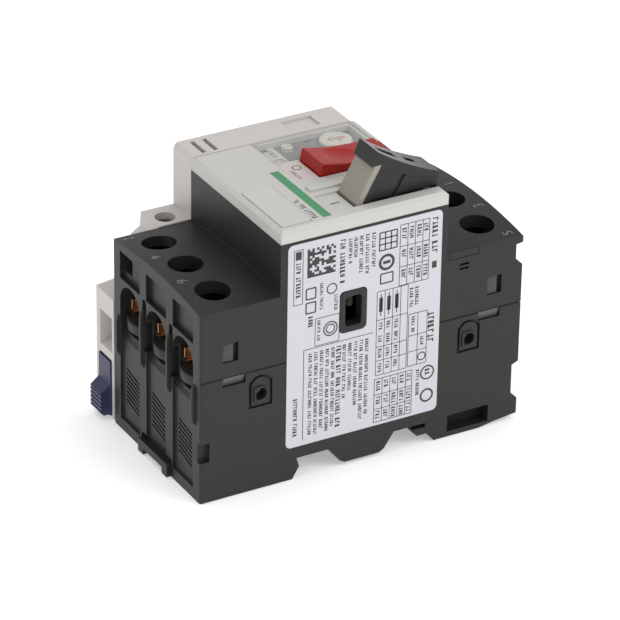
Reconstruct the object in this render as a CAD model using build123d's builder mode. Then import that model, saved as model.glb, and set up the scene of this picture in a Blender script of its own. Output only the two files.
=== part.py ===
from build123d import *

import os

# Three-pole motor protection breaker with push rockers, and a side auxiliary contact block.
# Frame: origin at the centre of the breaker's back, on the plane of its back feet.
# +Z points to the operator (front), -X is the load end, +X the line end,
# -Y the near side with the rating label, +Y the side that carries the auxiliary block.

# ---------------------------------------------------------------- driving dimensions, mm
LENGTH = 89.0  # load end to line end
WIDTH = 45.0  # three-pole body, without the auxiliary block
SEAM_HEIGHT = 33.0  # parting plane between base and upper housing
SHOULDER_HEIGHT = 51.0  # edge of the terminal shoulders
SHOULDER_CROWN = 1.8  # rise of the arched shoulder at mid-width
COVER_SEAT = 64.8  # top of the nose, where the front cover sits
COVER_THICKNESS = 3.4
NOSE_LENGTH = 45.8
NOSE_OFFSET = -0.2  # nose centre from the middle of the body

WALL = 1.8
SIDE_WALL = 2.7
POLE_PITCH = 13.7
LANE_WIDTH = 12.2  # clear width of one pole's compartment
SHOULDER_ROOF = 2.0
LANE_FLOOR = 7.6  # floor above the rail recess
FOOT_FLOOR = 2.0

RAIL_WIDTH = 35.0
RAIL_SEAT = 5.6  # ceiling of the rail recess above the back feet
RAIL_LIP = 1.2  # slot left for the rail's edge
RUNNING_GAP = 0.05  # radial clearance of a pin in a turning bore
FREE_GAP = 0.3  # clearance between pieces that move past each other

SCREW_ACCESS_RADIUS = 4.35
SCREW_ACCESS_INSET = 8.0  # from the end face
ENTRY_WIDTH = 10.4  # wire entry
ENTRY_TOP = 41.3
ENTRY_BOTTOM = 31.0
ENTRY_DEPTH = 4.2
BAY_DEPTH = 1.2
FRAME_EDGE = 2.3
PANEL_DEPTH = 0.7

AUX_WIDTH = 9.3
AUX_PLATE = 1.5
AUX_WALL = 1.2

ROCKER_PIVOT_INSET = 3.7  # from the line-side end of the nose
ROCKER_PIVOT_RISE = 1.2  # above the cover seat
PIVOT_RADIUS = 1.0
START_WIDTH = 8.7
START_FROM_NEAR = 3.9
START_LENGTH = 23.4
START_RISE = 12.8  # tip of the raised rocker above the cover
STOP_WIDTH = 10.3
STOP_FROM_NEAR = 21.1
STOP_LENGTH = 22.8
STOP_RISE = 3.1
WELL_MARGIN = 0.3

FLAP_THICKNESS = 0.7
FLAP_HINGE_RADIUS = 0.5
DIAL_RADIUS = 4.2
CONTACT_TRAVEL = 2.4
PLUNGER_TRAVEL = 2.5

# ---------------------------------------------------------------- places worked out from them
LOAD_END = -LENGTH / 2
LINE_END = LENGTH / 2
NEAR = -WIDTH / 2
FAR = WIDTH / 2
NOSE_START = NOSE_OFFSET - NOSE_LENGTH / 2
NOSE_END = NOSE_OFFSET + NOSE_LENGTH / 2
FRONT = COVER_SEAT + COVER_THICKNESS
POLES = [(0, -POLE_PITCH, 0), (0, 0, 0), (0, POLE_PITCH, 0)]
LANE_CEILING = SHOULDER_HEIGHT - SHOULDER_ROOF
PIVOT_X = NOSE_END - ROCKER_PIVOT_INSET
PIVOT_Z = COVER_SEAT + ROCKER_PIVOT_RISE
START_NEAR = NEAR + START_FROM_NEAR
START_FAR = START_NEAR + START_WIDTH
STOP_NEAR = NEAR + STOP_FROM_NEAR
STOP_FAR = STOP_NEAR + STOP_WIDTH
START_MIDDLE = (START_NEAR + START_FAR) / 2
STOP_MIDDLE = (STOP_NEAR + STOP_FAR) / 2
START_FRONT_END = NOSE_END - START_LENGTH
STOP_FRONT_END = NOSE_END - START_LENGTH
AUX_INNER = FAR
AUX_OUTER = FAR + AUX_WIDTH
AUX_SPLIT = AUX_OUTER - AUX_PLATE
RAIL_LOAD_EDGE = -RAIL_WIDTH / 2 + 0.3
RAIL_LINE_EDGE = RAIL_LOAD_EDGE + RAIL_WIDTH

LEG_X = (PIVOT_X - 8.6, PIVOT_X - 5.8)  # contact carrier, along the length
CROSSBAR = (LANE_CEILING + CONTACT_TRAVEL + 0.6, LANE_CEILING + CONTACT_TRAVEL + 3.0)
LINK_WINDOW_X = (LEG_X[0] - FREE_GAP, LEG_X[1] + FREE_GAP)
LINK_WINDOW_Z = (CROSSBAR[0] - CONTACT_TRAVEL - 0.2, CROSSBAR[1] + FREE_GAP)
AUX_MIDDLE = (AUX_INNER + AUX_SPLIT) / 2
AUX_CENTRE = sum(LEG_X) / 2
LATCH_SPRING = (LOAD_END + 5.5, LOAD_END + 12.0)
LATCH_FLANGE = 0.8

X_AXIS = (0, 90, 0)  # turns a cylinder onto the X axis
Y_AXIS = (90, 0, 0)  # turns a cylinder onto the Y axis

os.makedirs("parts", exist_ok=True)


def block(x_span, y_span, z_span, mode=Mode.ADD):
    """A box between two corners."""
    centre = [(low + high) / 2 for low, high in (x_span, y_span, z_span)]
    size = [high - low for low, high in (x_span, y_span, z_span)]
    with Locations(tuple(centre)):
        Box(*size, mode=mode)


def rod_x(x_span, y, z, radius, mode=Mode.ADD):
    """A cylinder along X."""
    with Locations(Location(((x_span[0] + x_span[1]) / 2, y, z), X_AXIS)):
        Cylinder(radius, x_span[1] - x_span[0], mode=mode)


def rod_y(x, y_span, z, radius, mode=Mode.ADD):
    """A cylinder along Y."""
    with Locations(Location((x, (y_span[0] + y_span[1]) / 2, z), Y_AXIS)):
        Cylinder(radius, y_span[1] - y_span[0], mode=mode)


def rod_z(x, y, z_span, radius, mode=Mode.ADD):
    """A cylinder along Z."""
    with Locations((x, y, (z_span[0] + z_span[1]) / 2)):
        Cylinder(radius, z_span[1] - z_span[0], mode=mode)


def side_outline(points, y_span, mode=Mode.ADD):
    """A closed outline of (x, z) points, carried across the width."""
    with BuildSketch(Plane.XZ.offset(-y_span[1])) as outline:
        with BuildLine():
            Polyline(*points, close=True)
        make_face()
    extrude(outline.sketch, amount=y_span[1] - y_span[0], mode=mode)


def finish(builder, label):
    """Labels the piece and writes its file."""
    builder.part.label = label
    export_step(builder.part, f"parts/{label}.step")


def coil_spring(label, foot, length, radius, wire, turns, tilt=(0, 0, 0)):
    """A round-wire compression spring standing on its foot, along Z unless tilted."""
    with BuildPart() as spring:
        height = length - 2 * wire
        with BuildLine() as path:
            Helix(pitch=height / turns, height=height, radius=radius)
        with BuildSketch(Plane(origin=path.line @ 0, z_dir=path.line % 0)):
            Circle(wire / 2)
        sweep()
    places = [Location(place, tilt) for place in foot]
    coils = [place * Pos(0, 0, wire) * spring.part for place in places]
    springs = Compound(coils) if len(coils) > 1 else coils[0]
    springs.label = label
    export_step(springs, f"parts/{label}.step")


# ---------------------------------------------------------------- base housing
# Side outline of the rail side: two feet, rail recess with a central boss, fixed hook at the line side.
BOSS_HALF = 6.0
HOOK_TIP = RAIL_LINE_EDGE - 3.0
HOOK_TOP = RAIL_SEAT - RAIL_LIP
HOOK_BOTTOM = 2.5
FOOT_INSET = 2.9
BASE_OUTLINE = [
    (LOAD_END, 0),
    (RAIL_LOAD_EDGE - 2.0, 0),
    (RAIL_LOAD_EDGE - 0.1, 3.2),
    (RAIL_LOAD_EDGE - 0.9, RAIL_SEAT),
    (-BOSS_HALF - 3.2, RAIL_SEAT),
    (-BOSS_HALF, 1.6),
    (-BOSS_HALF + 1.4, 0.8),
    (BOSS_HALF - 0.8, 0.8),
    (BOSS_HALF + 0.5, 1.6),
    (BOSS_HALF + 3.2, RAIL_SEAT),
    (RAIL_LINE_EDGE + 0.4, RAIL_SEAT),
    (RAIL_LINE_EDGE + 0.4, HOOK_TOP),
    (HOOK_TIP, HOOK_TOP),
    (HOOK_TIP, HOOK_BOTTOM + 1.0),
    (HOOK_TIP + 1.0, HOOK_BOTTOM),
    (RAIL_LINE_EDGE + 0.8, HOOK_BOTTOM),
    (RAIL_LINE_EDGE + FOOT_INSET, 0),
    (LINE_END - 10.9, 0),
    (LINE_END - 6.9, 0.7),
    (LINE_END, 1.5),
    (LINE_END, 5.8),
    (LINE_END - 0.9, 6.7),
    (LINE_END - 1.8, 7.0),
    (LINE_END - 1.8, 15.5),
    (LINE_END, 16.3),
    (LINE_END, SEAM_HEIGHT),
    (LOAD_END, SEAM_HEIGHT),
]
VENT_COUNT = 8
VENT_PITCH = 1.25
VENT_SLOT = 0.6
VENT_WIDTH = 7.0
VENT_BOTTOM = 7.6
VENT_TILT = 12.0
LATCH_WIDTH = 15.0
LATCH_TUNNEL = LATCH_WIDTH + 2 * FREE_GAP
LATCH_TOP = 3.6
LATCH_NOSE = RAIL_LOAD_EDGE + 1.3
COLLAR_TOP = 30.2
BARRIER_SLOT = (2.0, 1.9)  # depth and width
RAMP_FOOT = 25.4
SNAP_CLIP = (6.0, 12.2)  # from each end, along the length
BOSS_PLACES = [(LOAD_END + 16.3, 26.3), (LINE_END - 14.8, 26.4)]
BOSS_WIDTH = 6.4
BOSS_HEIGHT = 7.2
BOSS_GROOVE = 0.75
SIDE_GROOVE = 0.8
SEAM_GROOVE = 0.35
ENTRY_EDGE = ENTRY_WIDTH / 2


def end_bays(end, inward, z_span, depth):
    """Three shallow bays in an end face, one to a pole."""
    with Locations(*POLES):
        block(
            sorted((end - inward, end + inward * depth)),
            (-ENTRY_EDGE, ENTRY_EDGE),
            z_span,
            Mode.SUBTRACT,
        )


def d_pocket(x, z):
    """A D-shaped groove with an island that has a rivet hole, in the near side."""
    with BuildSketch(Plane.XZ.offset(-NEAR)) as groove:
        for shrink, mode in ((0, Mode.ADD), (BOSS_GROOVE, Mode.SUBTRACT)):
            with Locations((x, z)):
                Rectangle(BOSS_WIDTH - 2 * shrink, BOSS_HEIGHT - 2 * shrink, mode=mode)
            with Locations((x, z + BOSS_HEIGHT / 2 - BOSS_WIDTH / 4)):
                RectangleRounded(
                    BOSS_WIDTH - 2 * shrink,
                    BOSS_WIDTH - 2 * shrink,
                    BOSS_WIDTH / 2 - shrink - 0.01,
                    mode=mode,
                )
    extrude(groove.sketch, amount=-SIDE_GROOVE, mode=Mode.SUBTRACT)
    rod_y(x, (NEAR, NEAR + SIDE_WALL), z, 1.6, Mode.SUBTRACT)


with BuildPart() as base_housing:
    side_outline(BASE_OUTLINE, (NEAR, FAR))
    fillet(base_housing.edges().filter_by(Axis.Z).group_by(Axis.X)[0], 0.6)
    # pole compartments, open at the seam
    with Locations(*POLES):
        block(
            (RAIL_LOAD_EDGE - 3.0, RAIL_LINE_EDGE + 3.2),
            (-LANE_WIDTH / 2, LANE_WIDTH / 2),
            (LANE_FLOOR, SEAM_HEIGHT),
            Mode.SUBTRACT,
        )
        block(
            (LOAD_END + 3.6, RAIL_LOAD_EDGE - 3.0),
            (-LANE_WIDTH / 2, LANE_WIDTH / 2),
            (LANE_FLOOR, SEAM_HEIGHT),
            Mode.SUBTRACT,
        )
        block(
            (RAIL_LINE_EDGE + 3.2, LINE_END - 4.0),
            (-LANE_WIDTH / 2, LANE_WIDTH / 2),
            (LANE_FLOOR, SEAM_HEIGHT),
            Mode.SUBTRACT,
        )
    # tunnel of the rail latch, from the load end to the rail recess
    block(
        (LOAD_END - 1, RAIL_LOAD_EDGE + 0.5),
        (-LATCH_TUNNEL / 2, LATCH_TUNNEL / 2),
        (-1, LATCH_TOP + 1.0 + FREE_GAP),
        Mode.SUBTRACT,
    )
    # grooves that guide the latch, and the peg its spring bears on
    block(
        (LOAD_END + 1.5, RAIL_LOAD_EDGE + 0.5),
        (-LATCH_TUNNEL / 2 - LATCH_FLANGE, LATCH_TUNNEL / 2 + LATCH_FLANGE),
        (2.7, 4.3),
        Mode.SUBTRACT,
    )
    block(
        (LATCH_SPRING[0] - 1.3, LATCH_SPRING[0]),
        (-1.6, 1.6),
        (0.9, LATCH_TOP + 1.0 + FREE_GAP),
    )
    # hollow line-side foot, open to the near side
    block(
        (RAIL_LINE_EDGE + 6.6, LINE_END - 8.2),
        (NEAR - 1, NEAR + 4.0),
        (1.3, 6.0),
        Mode.SUBTRACT,
    )
    # lower panels, ramps under the wire entries and the entry collars
    for end, inward in ((LOAD_END, 1), (LINE_END, -1)):
        end_bays(end, inward, (3.0 if inward > 0 else 17.2, RAMP_FOOT), PANEL_DEPTH)
        for _, pole, _ in POLES:
            side_outline(
                [
                    (end - inward, RAMP_FOOT),
                    (end + inward * PANEL_DEPTH, RAMP_FOOT),
                    (end + inward * 2.6, COLLAR_TOP - 1.2),
                    (end + inward * 2.6, SEAM_HEIGHT),
                    (end - inward, SEAM_HEIGHT),
                ],
                (pole - ENTRY_EDGE, pole + ENTRY_EDGE),
                Mode.SUBTRACT,
            )
        with Locations(*POLES):
            rod_x(
                sorted((end, end + inward * 6.0)),
                0,
                COLLAR_TOP + ENTRY_EDGE,
                ENTRY_EDGE,
                Mode.SUBTRACT,
            )
    for rib in (-POLE_PITCH + ENTRY_EDGE, ENTRY_EDGE):
        block(
            (LOAD_END - 1, LOAD_END + BARRIER_SLOT[0]),
            (rib, rib + BARRIER_SLOT[1]),
            (RAMP_FOOT + 2.6, SEAM_HEIGHT),
            Mode.SUBTRACT,
        )
    # exhaust vents, cut at a slant through the load end wall
    for index in range(VENT_COUNT):
        height = VENT_BOTTOM + (index + 0.5) * VENT_PITCH
        for _, pole, _ in POLES:
            with Locations(Location((LOAD_END + 2.0, pole, height), (VENT_TILT, 0, 0))):
                Box(6.0, VENT_WIDTH, VENT_SLOT, mode=Mode.SUBTRACT)
    # corner notch, seam groove, snap clip seats and the two D-shaped pockets
    block(
        (LOAD_END - 1, LOAD_END + 2.6),
        (NEAR - 1, NEAR + 1.5),
        (11.0, 16.3),
        Mode.SUBTRACT,
    )
    for side, inward in ((NEAR, 1), (FAR, -1)):
        block(
            (LOAD_END, LINE_END),
            sorted((side, side + inward * SEAM_GROOVE)),
            (SEAM_HEIGHT - SEAM_GROOVE, SEAM_HEIGHT),
            Mode.SUBTRACT,
        )
        for start, stop in (SNAP_CLIP, (LENGTH - SNAP_CLIP[1], LENGTH - SNAP_CLIP[0])):
            block(
                (LOAD_END + start, LOAD_END + stop),
                sorted((side, side + inward * 1.3)),
                (SEAM_HEIGHT - 2.6, SEAM_HEIGHT),
                Mode.SUBTRACT,
            )
    for x, z in BOSS_PLACES:
        d_pocket(x, z)
finish(base_housing, "base_housing")

# ---------------------------------------------------------------- upper housing
LABEL_SPAN = (NOSE_START + 1.9, NOSE_END - 1.6)
LABEL_HEIGHT = (8.9, 64.0)
SOCKET_CENTRE = (NOSE_START + 19.9, 42.6)
SOCKET_OPENING = (4.6, 8.2)
SOCKET_FRAME = (7.6, 11.4)
LIP_HEIGHT = 1.5
SHOULDER_STEP = 1.9
CROWN_RADIUS = ((WIDTH / 2) ** 2 + SHOULDER_CROWN**2) / (2 * SHOULDER_CROWN)
SIDE_WINDOW = (4.2, 5.0)
UPPER_PANEL = (ENTRY_TOP + 0.9, SHOULDER_HEIGHT - 1.4)

with BuildPart() as upper_housing:
    # shoulders with an arched top
    with BuildSketch(Plane.YZ.offset(LOAD_END)):
        with BuildLine():
            Polyline(
                (NEAR, SHOULDER_HEIGHT),
                (NEAR, SEAM_HEIGHT),
                (FAR, SEAM_HEIGHT),
                (FAR, SHOULDER_HEIGHT),
            )
            ThreePointArc(
                (FAR, SHOULDER_HEIGHT),
                (0, SHOULDER_HEIGHT + SHOULDER_CROWN),
                (NEAR, SHOULDER_HEIGHT),
            )
        make_face()
    extrude(amount=LENGTH)
    # step below the lip of the line end
    side_outline(
        [
            (LINE_END + 1, SHOULDER_HEIGHT - LIP_HEIGHT),
            (LINE_END - SHOULDER_STEP, SHOULDER_HEIGHT - LIP_HEIGHT - 0.4),
            (LINE_END - SHOULDER_STEP, SHOULDER_HEIGHT - 5.8),
            (LINE_END, SHOULDER_HEIGHT - 7.7),
            (LINE_END + 1, SHOULDER_HEIGHT - 7.7),
        ],
        (NEAR - 1, FAR + 1),
        Mode.SUBTRACT,
    )
    fillet(upper_housing.edges().filter_by(Axis.Z).group_by(Axis.X)[0], 0.6)
    block((NOSE_START, NOSE_END), (NEAR, FAR), (SEAM_HEIGHT, COVER_SEAT))
    # pole compartments and the nose cavity
    with Locations(*POLES):
        block(
            (LOAD_END + 3.6, LINE_END - 4.0),
            (-LANE_WIDTH / 2, LANE_WIDTH / 2),
            (SEAM_HEIGHT, LANE_CEILING),
            Mode.SUBTRACT,
        )
    block(
        (NOSE_START + WALL, NOSE_END - WALL),
        (NEAR + WALL, FAR - WALL),
        (LANE_CEILING, COVER_SEAT),
        Mode.SUBTRACT,
    )
    # wire entries with arched tops, recessed panels above them, screwdriver holes
    for end, inward in ((LOAD_END, 1), (LINE_END, -1)):
        with Locations(*POLES):
            rod_x(
                sorted((end - inward, end + inward * ENTRY_DEPTH)),
                0,
                ENTRY_TOP - ENTRY_EDGE,
                ENTRY_EDGE,
                Mode.SUBTRACT,
            )
            block(
                sorted((end - inward, end + inward * ENTRY_DEPTH)),
                (-ENTRY_EDGE, ENTRY_EDGE),
                (SEAM_HEIGHT, ENTRY_TOP - ENTRY_EDGE),
                Mode.SUBTRACT,
            )
            rod_z(
                end + inward * SCREW_ACCESS_INSET,
                0,
                (LANE_CEILING - 1, SHOULDER_HEIGHT + SHOULDER_CROWN + 1),
                SCREW_ACCESS_RADIUS,
                Mode.SUBTRACT,
            )
    end_bays(LOAD_END, 1, UPPER_PANEL, BAY_DEPTH)
    # probe slot in the far bay, thin slot in the near bay
    block(
        (LOAD_END - 1, LOAD_END + ENTRY_DEPTH),
        (POLE_PITCH + 0.8, POLE_PITCH + ENTRY_EDGE),
        (UPPER_PANEL[1] - 5.6, UPPER_PANEL[1]),
        Mode.SUBTRACT,
    )
    block(
        (LOAD_END - 1, LOAD_END + ENTRY_DEPTH),
        (-POLE_PITCH - ENTRY_EDGE, -POLE_PITCH - ENTRY_EDGE + 0.7),
        (UPPER_PANEL[1] - 6.0, UPPER_PANEL[1]),
        Mode.SUBTRACT,
    )
    # barrier slots in the ribs between the wire entries, rounded at the top
    for rib in (-POLE_PITCH + ENTRY_EDGE, ENTRY_EDGE):
        block(
            (LOAD_END - 1, LOAD_END + BARRIER_SLOT[0]),
            (rib, rib + BARRIER_SLOT[1]),
            (SEAM_HEIGHT, ENTRY_TOP - 0.2),
            Mode.SUBTRACT,
        )
        rod_x(
            (LOAD_END - 1, LOAD_END + BARRIER_SLOT[0]),
            rib + BARRIER_SLOT[1] / 2,
            ENTRY_TOP - 0.2,
            BARRIER_SLOT[1] / 2,
            Mode.SUBTRACT,
        )
    # window for the tongue that drives the auxiliary contacts
    block(LINK_WINDOW_X, (FAR - WALL - 0.1, FAR), LINK_WINDOW_Z, Mode.SUBTRACT)
    # accessory sockets through both side walls of the nose
    for side, inward in ((NEAR, 1), (FAR, -1)):
        with BuildSketch(Plane.XZ.offset(-side)):
            with Locations(SOCKET_CENTRE):
                RectangleRounded(*SOCKET_OPENING, 1.0)
        extrude(amount=-inward * (SIDE_WALL + 0.1), mode=Mode.SUBTRACT)
    # snap windows near the seam, on the near side
    for x in (LOAD_END + 8.1, LINE_END - 7.9):
        block(
            (x - SIDE_WINDOW[0] / 2, x + SIDE_WINDOW[0] / 2),
            (NEAR - 1, NEAR + 1.4),
            (39.5 - SIDE_WINDOW[1] / 2, 39.5 + SIDE_WINDOW[1] / 2),
            Mode.SUBTRACT,
        )
    # keyway and inlay groove beside the nose on the line shoulder
    block(
        (NOSE_END, NOSE_END + 2.4),
        (NEAR + 4.5, NEAR + 8.5),
        (LANE_CEILING - 1, SHOULDER_HEIGHT + 2),
        Mode.SUBTRACT,
    )
    for z in (46.2, 47.4):
        block(
            (NOSE_END + 3.8, NOSE_END + 6.4),
            (NEAR - 1, NEAR + 0.8),
            (z - 0.35, z + 0.35),
            Mode.SUBTRACT,
        )
    block(
        (NOSE_END + 0.6, NOSE_END + 9.2),
        (NEAR - 1, NEAR + 0.6),
        (SHOULDER_HEIGHT - 1.8, SHOULDER_HEIGHT + 1),
        Mode.SUBTRACT,
    )
finish(upper_housing, "upper_housing")

# inlaid strip on the shoulder's edge, beside the nose
with BuildPart() as shoulder_strip:
    block(
        (NOSE_END + 0.8, NOSE_END + 9.0),
        (NEAR, NEAR + 0.6),
        (SHOULDER_HEIGHT - 1.6, SHOULDER_HEIGHT),
    )
finish(shoulder_strip, "shoulder_strip")

# snap clips that hold the two housings together, two on each long side
with BuildPart() as snap_clips:
    for side, inward in ((NEAR, 1), (FAR, -1)):
        for start, stop in (SNAP_CLIP, (LENGTH - SNAP_CLIP[1], LENGTH - SNAP_CLIP[0])):
            x_low = LOAD_END + start + 0.2
            x_high = LOAD_END + stop - 0.2
            with BuildSketch(Plane.YZ.offset(x_low)):
                with BuildLine():
                    Polyline(
                        (side + inward * 0.1, SEAM_HEIGHT),
                        (side + inward * 1.3, SEAM_HEIGHT),
                        (side + inward * 1.3, SEAM_HEIGHT - 2.6),
                        (side + inward * 0.9, SEAM_HEIGHT - 2.6),
                        close=True,
                    )
                make_face()
            extrude(amount=x_high - x_low)
finish(snap_clips, "snap_clips")

# ---------------------------------------------------------------- front cover
COVER_BEVEL = 0.8
START_WELL_END = START_FRONT_END - WELL_MARGIN
WINDOW = ((NOSE_START + 15.9, NOSE_END - 1.8), (NEAR + 31.7, FAR - 0.7))
PANEL_FLOOR = FRONT - 1.9
LEDGE_FLOOR = FRONT - 0.6
TAG = ((NOSE_START + 1.2, NOSE_START + 9.6), (NEAR + 2.0, NEAR + 22.2))
DIAL_CENTRE = (NOSE_END - 8.6, NEAR + 39.4)
TEST_CENTRE = (NOSE_START + 24.2, NEAR + 40.6)
PIN_SPAN = (NEAR + 2.4, NEAR + 33.0)
LUGS = [
    (NEAR + 2.4, START_NEAR - WELL_MARGIN),
    (START_FAR + WELL_MARGIN, START_FAR + 3.0),
    (STOP_NEAR - 3.0, STOP_NEAR - WELL_MARGIN),
    (STOP_FAR + WELL_MARGIN, NEAR + 33.0),
]
LUG_DROP = 3.4
FLAP_PIVOT = (WINDOW[0][0] + 0.75, LEDGE_FLOOR + 0.4)

with BuildPart() as front_cover:
    block((NOSE_START, NOSE_END), (NEAR, FAR), (COVER_SEAT, FRONT))
    chamfer(front_cover.faces().sort_by(Axis.Z)[-1].edges(), COVER_BEVEL)
    # hollow underside of the marker zone
    block(
        (NOSE_START + WALL, NOSE_START + 14.2),
        (NEAR + WALL, FAR - WALL),
        (COVER_SEAT, FRONT - 1.6),
        Mode.SUBTRACT,
    )
    # marker tag seat
    block(TAG[0], TAG[1], (FRONT - 0.5, FRONT), Mode.SUBTRACT)
    # rocker wells: the start well runs out at the line end of the nose
    block(
        (START_WELL_END, NOSE_END + 1),
        (START_NEAR - WELL_MARGIN, START_FAR + WELL_MARGIN),
        (COVER_SEAT, FRONT),
        Mode.SUBTRACT,
    )
    block(
        (START_WELL_END, NOSE_END - 1.0),
        (STOP_NEAR - WELL_MARGIN, STOP_FAR + WELL_MARGIN),
        (COVER_SEAT, FRONT),
        Mode.SUBTRACT,
    )
    # dished legend area in front of the start well
    block(
        (START_WELL_END - 6.2, START_WELL_END),
        (START_NEAR - WELL_MARGIN, START_FAR + WELL_MARGIN),
        (FRONT - 0.5, FRONT),
        Mode.SUBTRACT,
    )
    # window over the dial: ledge for the flap and the deeper dial panel
    block(WINDOW[0], WINDOW[1], (LEDGE_FLOOR, FRONT), Mode.SUBTRACT)
    block(
        (WINDOW[0][0] + 1.3, WINDOW[0][1] - 0.9),
        (WINDOW[1][0] + 0.9, WINDOW[1][1] - 0.6),
        (PANEL_FLOOR, LEDGE_FLOOR),
        Mode.SUBTRACT,
    )
    block(
        (FLAP_PIVOT[0] - 0.75, FLAP_PIVOT[0] + 0.9),
        (WINDOW[1][0], WINDOW[1][1]),
        (FLAP_PIVOT[1] - 0.8, LEDGE_FLOOR),
        Mode.SUBTRACT,
    )
    rod_y(
        FLAP_PIVOT[0],
        (WINDOW[1][0] - 0.7, WINDOW[1][1] + 0.3),
        FLAP_PIVOT[1],
        FLAP_HINGE_RADIUS + RUNNING_GAP,
        Mode.SUBTRACT,
    )
    # bearing holes of the dial and the test button
    rod_z(*DIAL_CENTRE, (COVER_SEAT, FRONT), 1.6 + RUNNING_GAP, Mode.SUBTRACT)
    rod_z(*TEST_CENTRE, (COVER_SEAT, FRONT), 1.4 + 0.1, Mode.SUBTRACT)
    # sealing recess in the dial panel
    rod_z(
        WINDOW[0][0] + 3.7,
        WINDOW[1][0] + 4.3,
        (PANEL_FLOOR - 0.5, FRONT),
        1.7,
        Mode.SUBTRACT,
    )
    # raised bar between the stop and start zones
    block(
        (NOSE_START + 16.2, NOSE_START + 25.8),
        (START_FAR + 2.3, START_FAR + 4.9),
        (FRONT - 0.2, FRONT + 0.5),
    )
    # bearing lugs of the rocker pin
    for low, high in LUGS:
        block(
            (PIVOT_X - 2.0, PIVOT_X + 1.8),
            (low, high),
            (PIVOT_Z - LUG_DROP, FRONT - COVER_BEVEL),
        )
    rod_y(PIVOT_X, PIN_SPAN, PIVOT_Z, PIVOT_RADIUS, Mode.SUBTRACT)
finish(front_cover, "front_cover")

with BuildPart() as marker_tag:
    block(
        (TAG[0][0] + 0.15, TAG[0][1] - 0.15),
        (TAG[1][0] + 0.15, TAG[1][1] - 0.15),
        (FRONT - 0.5, FRONT + 0.25),
    )
    fillet(marker_tag.edges().filter_by(Axis.Z), 0.4)
    chamfer(marker_tag.faces().sort_by(Axis.Z)[-1].edges(), 0.15)
finish(marker_tag, "marker_tag")

# rating label: a skin on the near side, with an opening at the accessory socket
LABEL_THICKNESS = 0.15
with BuildPart() as rating_label:
    with BuildSketch(Plane.XZ.offset(-NEAR)):
        with Locations((sum(LABEL_SPAN) / 2, sum(LABEL_HEIGHT) / 2)):
            RectangleRounded(
                LABEL_SPAN[1] - LABEL_SPAN[0], LABEL_HEIGHT[1] - LABEL_HEIGHT[0], 1.4
            )
        with Locations(SOCKET_CENTRE):
            RectangleRounded(*SOCKET_FRAME, 1.3, mode=Mode.SUBTRACT)
    extrude(amount=LABEL_THICKNESS)
finish(rating_label, "rating_label")

# ---------------------------------------------------------------- clear flap, dial, test button
with BuildPart() as clear_flap:
    flap_near = WINDOW[1][0] + 0.15
    flap_far = WINDOW[1][1] - 0.15
    block(
        (FLAP_PIVOT[0], WINDOW[0][1] - 0.2),
        (flap_near, flap_far),
        (FLAP_PIVOT[1] - FLAP_THICKNESS / 2, FLAP_PIVOT[1] + FLAP_THICKNESS / 2),
    )
    fillet(clear_flap.edges().filter_by(Axis.Z).group_by(Axis.X)[-1], 0.6)
    rod_y(FLAP_PIVOT[0], (flap_near, flap_far), FLAP_PIVOT[1], FLAP_THICKNESS / 2)
    rod_y(
        FLAP_PIVOT[0],
        (flap_near - 0.7, flap_far + 0.3),
        FLAP_PIVOT[1],
        FLAP_HINGE_RADIUS,
    )
finish(clear_flap, "clear_flap")

MECHANISM_PLATE = (55.0, 56.2)
DIAL_FOOT = MECHANISM_PLATE[1] + 0.6
with BuildPart() as setting_dial:
    rod_z(*DIAL_CENTRE, (PANEL_FLOOR + 0.05, PANEL_FLOOR + 0.75), DIAL_RADIUS)
    chamfer(setting_dial.faces().sort_by(Axis.Z)[-1].edges(), 0.2)
    rod_z(*DIAL_CENTRE, (DIAL_FOOT, PANEL_FLOOR + 0.3), 1.6)
    rod_z(DIAL_CENTRE[0] + 1.0, DIAL_CENTRE[1], (DIAL_FOOT, DIAL_FOOT + 2.4), 2.4)
    for turn in (0, 90):
        with Locations(
            Location((*DIAL_CENTRE, PANEL_FLOOR + 0.6), (0, 0, turn + 30))
        ):
            Box(3.4, 0.8, 0.8, mode=Mode.SUBTRACT)
finish(setting_dial, "setting_dial")

with BuildPart() as test_button:
    rod_z(*TEST_CENTRE, (COVER_SEAT - 1.2, PANEL_FLOOR + 1.1), 1.4)
    rod_z(*TEST_CENTRE, (COVER_SEAT - 1.2, COVER_SEAT - 0.1), 2.0)
    block(
        (TEST_CENTRE[0] - 1.6, TEST_CENTRE[0] + 1.6),
        (TEST_CENTRE[1] - 0.3, TEST_CENTRE[1] + 0.3),
        (PANEL_FLOOR + 0.5, PANEL_FLOOR + 1.2),
        Mode.SUBTRACT,
    )
finish(test_button, "test_button")

# ---------------------------------------------------------------- rockers on one pin
ROCKER_FLOOR = COVER_SEAT - 0.8
HUB_RADIUS = 2.2
FLANK_STEP = 0.35
TOP_SLOTS = [(7.6, 13.2, 2.6), (15.4, 18.6, 2.2)]  # start, stop, width


def rocker_profile(y, front_end, top_points, foot_x):
    """Side face of a rocker: hub at the pin, foot line, front face and dished top."""
    with BuildSketch(Plane.XZ.offset(-y)) as profile:
        with BuildLine():
            top = ThreePointArc(*top_points)
            Polyline(
                top @ 1,
                (NOSE_END - 0.4, COVER_SEAT + 0.5),
                (PIVOT_X + 1.0, COVER_SEAT + 0.5),
                (PIVOT_X + 1.0, ROCKER_FLOOR),
                (foot_x, ROCKER_FLOOR),
                (front_end, FRONT + 0.2),
                top @ 0,
            )
        make_face()
    return profile.sketch


START_TOP = [
    (START_FRONT_END + 5.7, FRONT + START_RISE),
    (START_FRONT_END + 14.0, FRONT + START_RISE - 5.0),
    (NOSE_END - 0.4, FRONT + 3.8),
]
STOP_TOP = [
    (STOP_FRONT_END + 0.7, FRONT + STOP_RISE),
    (STOP_FRONT_END + 8.6, FRONT + 1.7),
    (STOP_FRONT_END + STOP_LENGTH - 2.2, FRONT + 1.3),
]
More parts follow.
